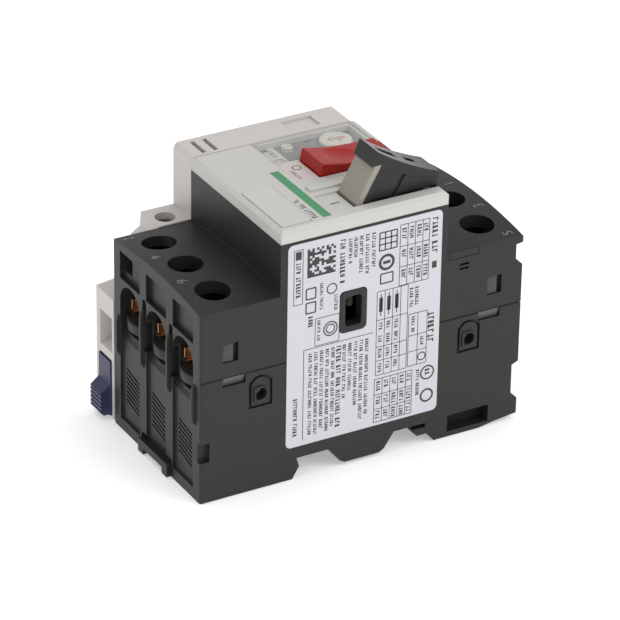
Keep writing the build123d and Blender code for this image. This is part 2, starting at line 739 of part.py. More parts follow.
# front opening of the start rocker, which the grey padlock slide fills
FRONT_FOOT = (START_FRONT_END + 0.1, FRONT + 0.3)
FRONT_BROW = (START_FRONT_END + 5.1, FRONT + 9.2)
SLIDE_THICKNESS = 1.8

with BuildPart() as start_rocker:
    extrude(
        rocker_profile(START_MIDDLE, START_FRONT_END + 0.1, START_TOP, START_FRONT_END + 0.9),
        amount=START_WIDTH / 2,
        both=True,
    )
    # seat of the grey slide in the front face
    side_outline(
        [
            (START_FRONT_END - 2, ROCKER_FLOOR - 1),
            (START_FRONT_END + 0.9 + SLIDE_THICKNESS, ROCKER_FLOOR - 1),
            (START_FRONT_END + 0.9 + SLIDE_THICKNESS, ROCKER_FLOOR),
            (FRONT_FOOT[0] + SLIDE_THICKNESS, FRONT_FOOT[1]),
            (FRONT_BROW[0] + SLIDE_THICKNESS, FRONT_BROW[1]),
            (FRONT_BROW[0] - 4, FRONT_BROW[1]),
            (START_FRONT_END - 2, FRONT_FOOT[1]),
        ],
        (START_NEAR - 1, START_FAR + 1),
        Mode.SUBTRACT,
    )
    # flanks set back below the rim band
    for side, inward in ((START_NEAR, 1), (START_FAR, -1)):
        side_outline(
            [
                (START_FRONT_END + 6.0, FRONT + 8.4),
                (START_FRONT_END + 14.0, FRONT + 4.6),
                (NOSE_END + 1, FRONT + 1.6),
                (NOSE_END + 1, FRONT - 6.0),
                (START_FRONT_END + 2.8, FRONT - 6.0),
            ],
            sorted((side, side + inward * FLANK_STEP)),
            Mode.SUBTRACT,
        )
    # two recesses along the dished top
    for start, stop, width in TOP_SLOTS:
        middle = (start + stop) / 2
        rise = START_RISE - (middle - 5.7) * 0.56
        with Locations(
            Location((START_FRONT_END + middle, START_MIDDLE, FRONT + rise), (0, 30, 0))
        ):
            Box(stop - start, width, 3.0, mode=Mode.SUBTRACT)
    # guide grooves in both flanks
    for side, inward in ((START_NEAR, 1), (START_FAR, -1)):
        with Locations(
            Location((PIVOT_X - 8.2, side + inward * 0.45, FRONT + 2.0), (0, 28, 0))
        ):
            Box(1.1, 0.9, 7.4, mode=Mode.SUBTRACT)
    # pusher under the rocker, over the contact carrier
    block(
        (PIVOT_X - 8.3, PIVOT_X - 6.3),
        (START_NEAR + 2.0, START_FAR - 2.0),
        (PIVOT_Z - 4.3, ROCKER_FLOOR),
    )
    rod_y(PIVOT_X, (START_NEAR, START_FAR), PIVOT_Z, HUB_RADIUS)
    rod_y(
        PIVOT_X,
        (START_NEAR, START_FAR),
        PIVOT_Z,
        PIVOT_RADIUS + RUNNING_GAP,
        Mode.SUBTRACT,
    )
finish(start_rocker, "start_rocker")

with BuildPart() as padlock_slide:
    side_outline(
        [
            (START_FRONT_END + 0.9, ROCKER_FLOOR),
            (START_FRONT_END + 0.9 + SLIDE_THICKNESS, ROCKER_FLOOR),
            (FRONT_FOOT[0] + SLIDE_THICKNESS, FRONT_FOOT[1]),
            (FRONT_BROW[0] + SLIDE_THICKNESS, FRONT_BROW[1]),
            (FRONT_BROW[0], FRONT_BROW[1]),
            (FRONT_FOOT[0], FRONT_FOOT[1]),
        ],
        (START_NEAR + 0.05, START_FAR - 0.05),
    )
finish(padlock_slide, "padlock_slide")

with BuildPart() as stop_rocker:
    extrude(
        rocker_profile(STOP_MIDDLE, STOP_FRONT_END + 0.1, STOP_TOP, STOP_FRONT_END + 0.3),
        amount=STOP_WIDTH / 2,
        both=True,
    )
    block(
        (NOSE_END - 1.3, NOSE_END + 1),
        (STOP_NEAR - 1, STOP_FAR + 1),
        (COVER_SEAT - 2, FRONT + 6),
        Mode.SUBTRACT,
    )
    # finger dish in the top
    with Locations(
        Location(
            (STOP_FRONT_END + 10.0, STOP_MIDDLE, FRONT + 15.0)
        )
    ):
        Sphere(14.0, mode=Mode.SUBTRACT)
    rod_y(PIVOT_X, (STOP_NEAR, STOP_FAR), PIVOT_Z, HUB_RADIUS)
    rod_y(
        PIVOT_X,
        (STOP_NEAR, STOP_FAR),
        PIVOT_Z,
        PIVOT_RADIUS + RUNNING_GAP,
        Mode.SUBTRACT,
    )
finish(stop_rocker, "stop_rocker")

with BuildPart() as rocker_pin:
    rod_y(PIVOT_X, PIN_SPAN, PIVOT_Z, PIVOT_RADIUS)
finish(rocker_pin, "rocker_pin")

# ---------------------------------------------------------------- mechanism in the nose
SPRING_X = PIVOT_X - 14.0
LOAD_RISER = NOSE_START + 3.4
COIL_AXIS = 41.4
COIL_SPAN = (LOAD_RISER + 3.0, LOAD_RISER + 13.4)
PLUNGER_TIP = COIL_SPAN[1] + 3.2
BIMETAL_X = PLUNGER_TIP + 8.2
TRIP_AXIS = (PLUNGER_TIP + 6.8, LANE_CEILING + 3.4)
TRIP_ROD = 1.2
with BuildPart() as mechanism_plate:
    block(
        (NOSE_START + WALL, NOSE_END - WALL),
        (NEAR + WALL, FAR - WALL),
        MECHANISM_PLATE,
    )
    # window for the carrier's pusher post
    block(
        (PIVOT_X - 9.6, PIVOT_X - 5.0),
        (START_NEAR + 0.6, START_FAR - 0.6),
        (MECHANISM_PLATE[0], MECHANISM_PLATE[1]),
        Mode.SUBTRACT,
    )
    # bearing saddles of the trip bar
    for low, high in ((NEAR + WALL + 0.2, NEAR + 4.0), (FAR - 4.0, FAR - WALL - 0.2)):
        block(
            (TRIP_AXIS[0] - 2.4, TRIP_AXIS[0] + 2.4),
            (low, high),
            (TRIP_AXIS[1] - 2.2, MECHANISM_PLATE[0]),
        )
        rod_y(
            TRIP_AXIS[0],
            (low, high),
            TRIP_AXIS[1],
            TRIP_ROD + RUNNING_GAP,
            Mode.SUBTRACT,
        )
finish(mechanism_plate, "mechanism_plate")

PLATE_TOP = MECHANISM_PLATE[1]
coil_spring(
    "start_spring", [(SPRING_X, START_MIDDLE, PLATE_TOP)], ROCKER_FLOOR - PLATE_TOP, 2.2, 0.5, 4
)
coil_spring(
    "stop_spring", [(SPRING_X, STOP_MIDDLE, PLATE_TOP)], ROCKER_FLOOR - PLATE_TOP, 2.2, 0.5, 4
)
coil_spring(
    "test_spring", [(*TEST_CENTRE, PLATE_TOP)], COVER_SEAT - 1.2 - PLATE_TOP, 1.4, 0.35, 5
)

# contact carrier: pusher post, crossbar over the poles that reaches into the auxiliary block,
# a leg and a window frame in each pole
BRIDGE_BOTTOM = 18.2
BRIDGE_THICKNESS = 1.4
WINDOW_BOTTOM = BRIDGE_BOTTOM - 0.9
WINDOW_TOP = BRIDGE_BOTTOM + 7.6
BRIDGE_HALF = 14.3
BRIDGE_WIDTH = 5.2
RING_HALF = 1.5
with BuildPart() as contact_carrier:
    block(LEG_X, (NEAR + 4.0, AUX_MIDDLE + 2.0), CROSSBAR)
    block(
        (LEG_X[0] + 0.4, LEG_X[1] - 0.4),
        (START_NEAR + 2.2, START_FAR - 2.2),
        (CROSSBAR[1], PIVOT_Z - 4.3 - FREE_GAP),
    )
    with Locations(*POLES):
        block(LEG_X, (-2.0, 2.0), (WINDOW_TOP + 0.4, CROSSBAR[0]))
        block((-RING_HALF, LEG_X[0]), (-2.0, 2.0), (WINDOW_TOP + 0.4, WINDOW_TOP + 2.2))
        block((-RING_HALF, RING_HALF), (-4.4, 4.4), (WINDOW_BOTTOM - 1.4, WINDOW_TOP + 2.2))
        block(
            (-RING_HALF, RING_HALF),
            (-BRIDGE_WIDTH / 2 - 0.2, BRIDGE_WIDTH / 2 + 0.2),
            (WINDOW_BOTTOM, WINDOW_TOP),
            Mode.SUBTRACT,
        )
finish(contact_carrier, "contact_carrier")

CONTACT_PAD = 1.2
PAD_RADIUS = 1.9
PAD_PLACE = BRIDGE_HALF - 2.2
with BuildPart() as contact_bridges:
    with Locations(*POLES):
        block(
            (-BRIDGE_HALF, BRIDGE_HALF),
            (-BRIDGE_WIDTH / 2, BRIDGE_WIDTH / 2),
            (BRIDGE_BOTTOM, BRIDGE_BOTTOM + BRIDGE_THICKNESS),
        )
        for x in (-PAD_PLACE, PAD_PLACE):
            rod_z(x, 0, (BRIDGE_BOTTOM - CONTACT_PAD, BRIDGE_BOTTOM), PAD_RADIUS)
finish(contact_bridges, "contact_bridges")

BRIDGE_TOP = BRIDGE_BOTTOM + BRIDGE_THICKNESS
coil_spring(
    "bridge_springs",
    [(0, pole, BRIDGE_TOP) for _, pole, _ in POLES],
    WINDOW_TOP - BRIDGE_TOP,
    1.1,
    0.4,
    4,
)

# ---------------------------------------------------------------- current path
FIXED_TOP = BRIDGE_BOTTOM - CONTACT_PAD - CONTACT_TRAVEL - 0.05
STRIP = 1.3
STRIP_TOP = FIXED_TOP - CONTACT_PAD
RISER_X = NOSE_END - WALL - 1.0
TERMINAL_BAR = (41.6, 42.9)
CLAMP_SPAN = (4.5, 12.5)  # from the end face
CLAMP_HALF = 4.4
CLAMP_HEIGHT = (ENTRY_BOTTOM + 0.6, TERMINAL_BAR[0])
CLAMP_WALL = 1.2
SCREW_RADIUS = 1.9
STRAP_X = NOSE_START + 0.2
STRAP_HEIGHT = SEAM_HEIGHT + 0.4

with BuildPart() as line_conductors:
    with Locations(*POLES):
        # fixed contact strip, riser and terminal bar
        block((PAD_PLACE - 2.0, RISER_X + STRIP), (-2.5, 2.5), (STRIP_TOP - STRIP, STRIP_TOP))
        rod_z(PAD_PLACE, 0, (STRIP_TOP, FIXED_TOP), PAD_RADIUS)
        block((RISER_X, RISER_X + STRIP), (-2.5, 2.5), (LANE_FLOOR, TERMINAL_BAR[1]))
        block((RISER_X, LINE_END - 4.4), (-3.6, 3.6), TERMINAL_BAR)
        rod_z(
            LINE_END - SCREW_ACCESS_INSET,
            0,
            TERMINAL_BAR,
            SCREW_RADIUS + 0.15,
            Mode.SUBTRACT,
        )
finish(line_conductors, "line_conductors")

with BuildPart() as load_fixed_contacts:
    with Locations(*POLES):
        block((LOAD_RISER, -PAD_PLACE + 2.0), (-2.5, 2.5), (STRIP_TOP - STRIP, STRIP_TOP))
        rod_z(-PAD_PLACE, 0, (STRIP_TOP, FIXED_TOP), PAD_RADIUS)
        block((LOAD_RISER, LOAD_RISER + STRIP), (-5.6, -2.5), (LANE_FLOOR, 40.0))
        block((LOAD_RISER, LOAD_RISER + STRIP), (-2.5, 2.5), (LANE_FLOOR, 30.0))
finish(load_fixed_contacts, "load_fixed_contacts")

with BuildPart() as load_straps:
    with Locations(*POLES):
        block((LOAD_END + 4.4, STRAP_X + STRIP), (-3.6, 3.6), TERMINAL_BAR)
        block((STRAP_X, STRAP_X + STRIP), (-2.2, 2.2), (STRAP_HEIGHT, TERMINAL_BAR[1]))
        block((STRAP_X, BIMETAL_X + 1.2), (-2.2, 2.2), (STRAP_HEIGHT, STRAP_HEIGHT + 0.9))
        rod_z(
            LOAD_END + SCREW_ACCESS_INSET,
            0,
            TERMINAL_BAR,
            SCREW_RADIUS + 0.15,
            Mode.SUBTRACT,
        )
finish(load_straps, "load_straps")


def cage_clamps(end, inward):
    """Three cage clamps open along the wire, hung under the terminal bars."""
    low, high = sorted((end + inward * CLAMP_SPAN[0], end + inward * CLAMP_SPAN[1]))
    with BuildPart() as clamps:
        with Locations(*POLES):
            block((low, high), (-CLAMP_HALF, CLAMP_HALF), CLAMP_HEIGHT)
            block(
                (low, high),
                (-CLAMP_HALF + CLAMP_WALL, CLAMP_HALF - CLAMP_WALL),
                (CLAMP_HEIGHT[0] + CLAMP_WALL, CLAMP_HEIGHT[1] - CLAMP_WALL),
                Mode.SUBTRACT,
            )
            rod_z(
                end + inward * SCREW_ACCESS_INSET,
                0,
                (CLAMP_HEIGHT[1] - CLAMP_WALL, CLAMP_HEIGHT[1]),
                SCREW_RADIUS + 0.15,
                Mode.SUBTRACT,
            )
    return clamps


def terminal_screws(end, inward):
    """Three slotted pan-head terminal screws under the access holes."""
    x = end + inward * SCREW_ACCESS_INSET
    with BuildPart() as screws:
        with Locations(*POLES):
            rod_z(x, 0, (TERMINAL_BAR[1], TERMINAL_BAR[1] + 2.4), 3.5)
            rod_z(x, 0, (CLAMP_HEIGHT[1] - 3.6, TERMINAL_BAR[1]), SCREW_RADIUS)
            block(
                (x - 4, x + 4),
                (-0.5, 0.5),
                (TERMINAL_BAR[1] + 1.3, TERMINAL_BAR[1] + 2.5),
                Mode.SUBTRACT,
            )
            block(
                (x - 0.5, x + 0.5),
                (-2.0, 2.0),
                (TERMINAL_BAR[1] + 1.3, TERMINAL_BAR[1] + 2.5),
                Mode.SUBTRACT,
            )
    return screws


load_clamps = cage_clamps(LOAD_END, 1)
finish(load_clamps, "load_clamps")
line_clamps = cage_clamps(LINE_END, -1)
finish(line_clamps, "line_clamps")
load_screws = terminal_screws(LOAD_END, 1)
finish(load_screws, "load_screws")
line_screws = terminal_screws(LINE_END, -1)
finish(line_screws, "line_screws")

# ---------------------------------------------------------------- trip units
COIL_RADIUS = 5.0
YOKE = 1.2
PLUNGER_RADIUS = 2.3
with BuildPart() as magnet_coils:
    with Locations(*POLES):
        rod_x(COIL_SPAN, 0, COIL_AXIS, COIL_RADIUS)
        rod_x(COIL_SPAN, 0, COIL_AXIS, PLUNGER_RADIUS + 0.6, Mode.SUBTRACT)
finish(magnet_coils, "magnet_coils")

with BuildPart() as magnet_yokes:
    with Locations(*POLES):
        block(
            (COIL_SPAN[0] - YOKE, COIL_SPAN[0]),
            (-5.0, 5.0),
            (STRAP_HEIGHT + 0.9, COIL_AXIS + 5.2),
        )
        block(
            (COIL_SPAN[1], COIL_SPAN[1] + YOKE),
            (-5.0, 5.0),
            (STRAP_HEIGHT + 0.9, COIL_AXIS + 5.2),
        )
        block(
            (COIL_SPAN[0], COIL_SPAN[1]),
            (-5.0, 5.0),
            (STRAP_HEIGHT + 0.9, COIL_AXIS - COIL_RADIUS - 0.2),
        )
        rod_x(
            (COIL_SPAN[1], COIL_SPAN[1] + YOKE),
            0,
            COIL_AXIS,
            PLUNGER_RADIUS + RUNNING_GAP,
            Mode.SUBTRACT,
        )
finish(magnet_yokes, "magnet_yokes")

# one sprung plunger to each coil
for number, pole in enumerate(POLES, start=1):
    with BuildPart() as plunger:
        with Locations(pole):
            rod_x((COIL_SPAN[0] + 4.4, COIL_SPAN[1] + 1.8), 0, COIL_AXIS, PLUNGER_RADIUS)
            rod_x((COIL_SPAN[1] + 1.8, PLUNGER_TIP), 0, COIL_AXIS, 1.0)
    finish(plunger, f"plunger_{number}")

with BuildPart() as bimetals:
    with Locations(*POLES):
        block(
            (BIMETAL_X, BIMETAL_X + 0.8),
            (-2.0, 2.0),
            (STRAP_HEIGHT + 0.9, LANE_CEILING - 1.0),
        )
finish(bimetals, "bimetals")

with BuildPart() as heater_windings:
    with Locations(*POLES):
        block((BIMETAL_X - 1.1, BIMETAL_X + 1.9), (-3.2, 3.2), (36.0, 43.2))
        block(
            (BIMETAL_X, BIMETAL_X + 0.8),
            (-2.0, 2.0),
            (36.0, 43.2),
            Mode.SUBTRACT,
        )
        for turn in range(6):
            height = 37.0 + turn * 1.15
            for low, high in ((-1.2, -0.8), (1.6, 2.0)):
                block(
                    (BIMETAL_X + low, BIMETAL_X + high),
                    (-3.4, 3.4),
                    (height - 0.15, height + 0.15),
                    Mode.SUBTRACT,
                )
finish(heater_windings, "heater_windings")

# trip bar: pivot rod across the poles with two arms in each pole
PLUNGER_ARM = PLUNGER_TIP + PLUNGER_TRAVEL + FREE_GAP
with BuildPart() as trip_bar:
    rod_y(TRIP_AXIS[0], (NEAR + WALL + 0.4, FAR - WALL - 0.4), TRIP_AXIS[1], TRIP_ROD)
    block(
        (PLUNGER_ARM, BIMETAL_X + 3.4),
        (NEAR + 4.4, FAR - 4.4),
        (TRIP_AXIS[1] - 2.3, TRIP_AXIS[1] - 0.9),
    )
    with Locations(*POLES):
        block(
            (PLUNGER_ARM, PLUNGER_ARM + 1.2),
            (-1.6, 1.6),
            (COIL_AXIS - 2.0, TRIP_AXIS[1] - 1.5),
        )
        block(
            (BIMETAL_X + 2.2, BIMETAL_X + 3.4),
            (-1.6, 1.6),
            (44.0, TRIP_AXIS[1] - 1.5),
        )
finish(trip_bar, "trip_bar")

# ---------------------------------------------------------------- arc chutes
PLATE_COUNT = 8
PLATE_PITCH = 2.1
PLATE_THICKNESS = 0.8
CHUTE_LENGTH = 13.0
CHUTE_BOTTOM = LANE_FLOOR + 1.4
CHEEK = 0.6
CHUTE_HALF = LANE_WIDTH / 2 - 0.1


def chute_span(side):
    """Start and end of the chute on one side of the contacts."""
    near_contacts = BRIDGE_HALF + 7.8
    return sorted((side * near_contacts, side * (near_contacts + CHUTE_LENGTH)))


def deion_plates(side):
    """Stacks of steel plates, one stack to a pole."""
    with BuildPart() as plates:
        with Locations(*POLES):
            for index in range(PLATE_COUNT):
                low = CHUTE_BOTTOM + index * PLATE_PITCH
                block(
                    chute_span(side),
                    (-CHUTE_HALF + CHEEK, CHUTE_HALF - CHEEK),
                    (low, low + PLATE_THICKNESS),
                )
    return plates


deion_plates_load = deion_plates(-1)
finish(deion_plates_load, "deion_plates_load")
deion_plates_line = deion_plates(1)
finish(deion_plates_line, "deion_plates_line")

with BuildPart() as chute_cheeks:
    with Locations(*POLES):
        for side in (-1, 1):
            for edge in (-1, 1):
                block(
                    chute_span(side),
                    sorted((edge * CHUTE_HALF, edge * (CHUTE_HALF - CHEEK))),
                    (LANE_FLOOR, CHUTE_BOTTOM + PLATE_COUNT * PLATE_PITCH),
                )
finish(chute_cheeks, "chute_cheeks")

# ---------------------------------------------------------------- rail latch
TAB_REACH = 1.2
with BuildPart() as rail_latch:
    side_outline(
        [
            (LOAD_END - TAB_REACH, 0),
            (LATCH_NOSE - 2.6, 0),
            (LATCH_NOSE, 3.4),
            (LATCH_NOSE, HOOK_TOP),
            (LATCH_NOSE - 1.7, HOOK_TOP),
            (LATCH_NOSE - 2.4, LATCH_TOP + 0.9),
            (LOAD_END + 1.0, LATCH_TOP + 0.9),
            (LOAD_END + 1.0, LATCH_TOP),
            (LOAD_END - TAB_REACH, LATCH_TOP),
        ],
        (-LATCH_WIDTH / 2, LATCH_WIDTH / 2),
    )
    # relief between the two pull ends of the tab
    block(
        (LOAD_END - TAB_REACH, LOAD_END + 2.2),
        (-LATCH_WIDTH / 2 + 2.6, LATCH_WIDTH / 2 - 2.6),
        (0, 1.6),
        Mode.SUBTRACT,
    )
    # guide flanges and the pocket for the spring and its peg
    block(
        (LOAD_END + 5.0, LATCH_NOSE - 4.0),
        (-LATCH_WIDTH / 2 - LATCH_FLANGE, LATCH_WIDTH / 2 + LATCH_FLANGE),
        (3.0, 4.0),
    )
    block(
        (LATCH_SPRING[0] - 1.6, LATCH_SPRING[1]),
        (-2.0, 2.0),
        (0.6, LATCH_TOP + 0.9),
        Mode.SUBTRACT,
    )
finish(rail_latch, "rail_latch")

coil_spring(
    "latch_spring", [(LATCH_SPRING[0], 0, 2.7)], LATCH_SPRING[1] - LATCH_SPRING[0], 1.3, 0.4, 5, X_AXIS
)

# ---------------------------------------------------------------- auxiliary block
AUX_TOP = FRONT - 0.2
AUX_SHELF = SHOULDER_HEIGHT + 0.3
AUX_OUTLINE = [
    (LOAD_END, 0.4),
    (LOAD_END, 34.0),
    (LOAD_END + 4.9, 34.6),
    (LOAD_END + 9.6, 45.9),
    (LOAD_END + 12.0, 47.4),
    (LOAD_END + 12.4, AUX_SHELF),
    (NOSE_START, AUX_SHELF),
    (NOSE_START, AUX_TOP - 1.4),
    (NOSE_START + 0.8, AUX_TOP),
    (NOSE_END - 1.4, AUX_TOP),
    (NOSE_END - 0.6, AUX_TOP - 0.8),
    (NOSE_END - 0.6, AUX_SHELF),
    (LINE_END - 12.4, AUX_SHELF),
    (LINE_END - 12.0, 47.4),
    (LINE_END - 9.6, 45.9),
    (LINE_END - 4.9, 34.6),
    (LINE_END, 34.0),
    (LINE_END, 1.5),
    (LINE_END - 10.9, 0.4),
    (RAIL_LINE_EDGE + FOOT_INSET, 0.4),
    (RAIL_LINE_EDGE + FOOT_INSET, RAIL_SEAT + 0.2),
    (RAIL_LOAD_EDGE - 1.0, RAIL_SEAT + 0.2),
    (RAIL_LOAD_EDGE - 2.0, 0.4),
]
AUX_PORT = (18.8, 28.4)
AUX_SCREW = (SCREW_ACCESS_INSET + 8.3, 2.6)
AUX_LATCH_HEIGHT = (1.0, 16.2)
with BuildPart() as aux_housing:
    side_outline(AUX_OUTLINE, (AUX_INNER, AUX_SPLIT))
    chamfer(
        aux_housing.edges().filter_by(Axis.Y).group_by(Axis.Z)[-1], 0.3
    )
    # upper chamber behind the nose, lower chamber along the body
    block(
        (NOSE_START + AUX_WALL, NOSE_END - 0.6 - AUX_WALL),
        (AUX_INNER + AUX_WALL, AUX_SPLIT),
        (32.0, AUX_TOP - 2.0),
        Mode.SUBTRACT,
    )
    block(
        (LOAD_END + 11.0, LINE_END - 11.0),
        (AUX_INNER + AUX_WALL, AUX_SPLIT),
        (RAIL_SEAT + 2.0, 32.0),
        Mode.SUBTRACT,
    )
    for end, inward in ((LOAD_END, 1), (LINE_END, -1)):
        # terminal chamber, funnel port and screwdriver hole
        block(
            sorted((end + inward * 13.0, end + inward * 21.0)),
            (AUX_INNER + AUX_WALL, AUX_SPLIT),
            (32.0, AUX_SHELF - 2.0),
            Mode.SUBTRACT,
        )
        with BuildSketch(Plane.YZ.offset(end)):
            with Locations((AUX_MIDDLE + 0.3, sum(AUX_PORT) / 2)):
                Rectangle(6.4, AUX_PORT[1] - AUX_PORT[0])
        with BuildSketch(Plane.YZ.offset(end + inward * 7.0)):
            with Locations((AUX_MIDDLE + 0.3, sum(AUX_PORT) / 2)):
                Rectangle(4.8, 5.0)
        loft(mode=Mode.SUBTRACT)
        block(
            sorted((end + inward * 7.0, end + inward * 11.0)),
            (AUX_MIDDLE + 0.3 - 2.4, AUX_MIDDLE + 0.3 + 2.4),
            (sum(AUX_PORT) / 2 - 2.5, sum(AUX_PORT) / 2 + 2.5),
            Mode.SUBTRACT,
        )
        rod_z(
            end + inward * AUX_SCREW[0],
            AUX_MIDDLE,
            (AUX_SHELF - 3.0, AUX_SHELF + 1),
            AUX_SCREW[1],
            Mode.SUBTRACT,
        )
    block(LINK_WINDOW_X, (AUX_INNER, AUX_INNER + AUX_WALL), LINK_WINDOW_Z, Mode.SUBTRACT)
    # two probe slots and a marker recess on the front strip
    for x in (NOSE_START + 4.2, NOSE_START + 7.5):
        block(
            (x - 0.6, x + 0.6),
            (AUX_INNER + 1.0, AUX_SPLIT),
            (AUX_TOP - 2.0, AUX_TOP + 1),
            Mode.SUBTRACT,
        )
    block(
        (NOSE_START + 28.6, NOSE_START + 37.0),
        (AUX_INNER + 1.7, AUX_SPLIT - 0.8),
        (AUX_TOP - 0.6, AUX_TOP + 1),
        Mode.SUBTRACT,
    )
    # seat of the release latch at the foot of the load end
    block(
        (LOAD_END - 1, LOAD_END + 6.0),
        (AUX_INNER + AUX_WALL, AUX_SPLIT),
        (AUX_LATCH_HEIGHT[0] - 1, AUX_LATCH_HEIGHT[1] + 0.4),
        Mode.SUBTRACT,
    )
finish(aux_housing, "aux_housing")

with BuildPart() as aux_cover:
    side_outline(AUX_OUTLINE, (AUX_SPLIT, AUX_OUTER))
    chamfer(
        aux_cover.edges().filter_by(Axis.Y).group_by(Axis.Z)[-1], 0.3
    )
finish(aux_cover, "aux_cover")

KNOB_RIBS = 5
with BuildPart() as aux_latch:
    block(
        (LOAD_END - 0.4, LOAD_END + 5.8),
        (AUX_INNER + AUX_WALL + 0.2, AUX_SPLIT - 0.2),
        (AUX_LATCH_HEIGHT[0], AUX_LATCH_HEIGHT[1]),
    )
    side_outline(
        [
            (LOAD_END - 0.4, 1.2),
            (LOAD_END - 0.4, 9.6),
            (LOAD_END - 2.8, 7.6),
            (LOAD_END - 2.8, 2.0),
            (LOAD_END - 2.0, 1.2),
        ],
        (AUX_INNER + AUX_WALL + 0.6, AUX_SPLIT - 0.2),
    )
    for rib in range(KNOB_RIBS):
        height = 2.6 + rib * 1.15
        block(
            (LOAD_END - 4.0, LOAD_END - 2.3),
            (AUX_INNER + AUX_WALL, AUX_SPLIT),
            (height - 0.2, height + 0.2),
            Mode.SUBTRACT,
        )
finish(aux_latch, "aux_latch")

# aux contact parts: terminals, screws, fixed contacts, moving carrier with its bridge
AUX_LINE_X = LINE_END - AUX_SCREW[0]
AUX_LOAD_X = LOAD_END + AUX_SCREW[0]
with BuildPart() as aux_clamps:
    for x in (AUX_LOAD_X, AUX_LINE_X):
        block((x - 3.0, x + 3.0), (AUX_MIDDLE - 2.6, AUX_MIDDLE + 2.6), (36.0, 43.0))
        block(
            (x - 3.0, x + 3.0),
            (AUX_MIDDLE - 1.8, AUX_MIDDLE + 1.8),
            (36.8, 42.2),
            Mode.SUBTRACT,
        )
        rod_z(x, AUX_MIDDLE, (42.2, 43.0), 1.5, Mode.SUBTRACT)
finish(aux_clamps, "aux_clamps")

with BuildPart() as aux_screws:
    for x in (AUX_LOAD_X, AUX_LINE_X):
        rod_z(x, AUX_MIDDLE, (43.8, 45.8), 2.4)
        rod_z(x, AUX_MIDDLE, (38.5, 43.8), 1.4)
        block(
            (x - 3, x + 3),
            (AUX_MIDDLE - 0.35, AUX_MIDDLE + 0.35),
            (44.8, 45.9),
            Mode.SUBTRACT,
        )
finish(aux_screws, "aux_screws")

AUX_CONTACT_HALF = 7.0
AUX_BRIDGE = 22.0
AUX_STRIP = 0.8
AUX_FIXED_TOP = AUX_BRIDGE - CONTACT_TRAVEL - 0.1
AUX_STRIP_TOP = AUX_FIXED_TOP - 0.8
AUX_BAR = (43.0, 43.0 + AUX_STRIP)
with BuildPart() as aux_fixed_contacts:
    for x, side in ((AUX_LOAD_X, -1), (AUX_LINE_X, 1)):
        pad = AUX_CENTRE + side * AUX_CONTACT_HALF
        riser = x - side * 3.3
        depth = (AUX_MIDDLE - 1.4, AUX_MIDDLE + 1.4)
        # strip under the bridge with its pad, riser, and bar under the terminal screw
        block(
            sorted((riser, pad - side * 1.6)),
            depth,
            (AUX_STRIP_TOP - AUX_STRIP, AUX_STRIP_TOP),
        )
        rod_z(pad, AUX_MIDDLE, (AUX_STRIP_TOP, AUX_FIXED_TOP), 1.2)
        block(sorted((riser, riser - side * AUX_STRIP)), depth, (AUX_STRIP_TOP - AUX_STRIP, AUX_BAR[1]))
        block(sorted((riser, x + side * 2.6)), depth, AUX_BAR)
        rod_z(x, AUX_MIDDLE, AUX_BAR, 1.4 + RUNNING_GAP, Mode.SUBTRACT)
finish(aux_fixed_contacts, "aux_fixed_contacts")

with BuildPart() as aux_bridge:
    block(
        (AUX_CENTRE - AUX_CONTACT_HALF - 1.4, AUX_CENTRE + AUX_CONTACT_HALF + 1.4),
        (AUX_MIDDLE - 1.2, AUX_MIDDLE + 1.2),
        (AUX_BRIDGE + 0.5, AUX_BRIDGE + 1.1),
    )
    for x in (AUX_CENTRE - AUX_CONTACT_HALF, AUX_CENTRE + AUX_CONTACT_HALF):
        rod_z(x, AUX_MIDDLE, (AUX_BRIDGE, AUX_BRIDGE + 0.5), 1.0)
finish(aux_bridge, "aux_bridge")

with BuildPart() as aux_carrier:
    block(
        (AUX_CENTRE - 1.6, AUX_CENTRE + 1.6),
        (AUX_MIDDLE - 2.2, AUX_MIDDLE + 2.2),
        (AUX_BRIDGE - 2.0, CROSSBAR[0] - 0.1),
    )
    block(
        (AUX_CENTRE - 1.6, AUX_CENTRE + 1.6),
        (AUX_MIDDLE - 1.2, AUX_MIDDLE + 1.2),
        (AUX_BRIDGE + 0.5, AUX_BRIDGE + 1.1),
        Mode.SUBTRACT,
    )
finish(aux_carrier, "aux_carrier")

AUX_SPRING_FOOT = RAIL_SEAT + 2.0
coil_spring(
    "aux_spring",
    [(AUX_CENTRE, AUX_MIDDLE, AUX_SPRING_FOOT)],
    AUX_BRIDGE - 2.0 - AUX_SPRING_FOOT,
    1.8,
    0.4,
    6,
)
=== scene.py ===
"""Looks of a three-pole motor protection breaker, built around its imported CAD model."""

import functools
import logging
import math
import random
from dataclasses import dataclass, field
from enum import Enum
from typing import Iterable, Sequence

import bmesh
import bpy
from mathutils import Matrix, Vector


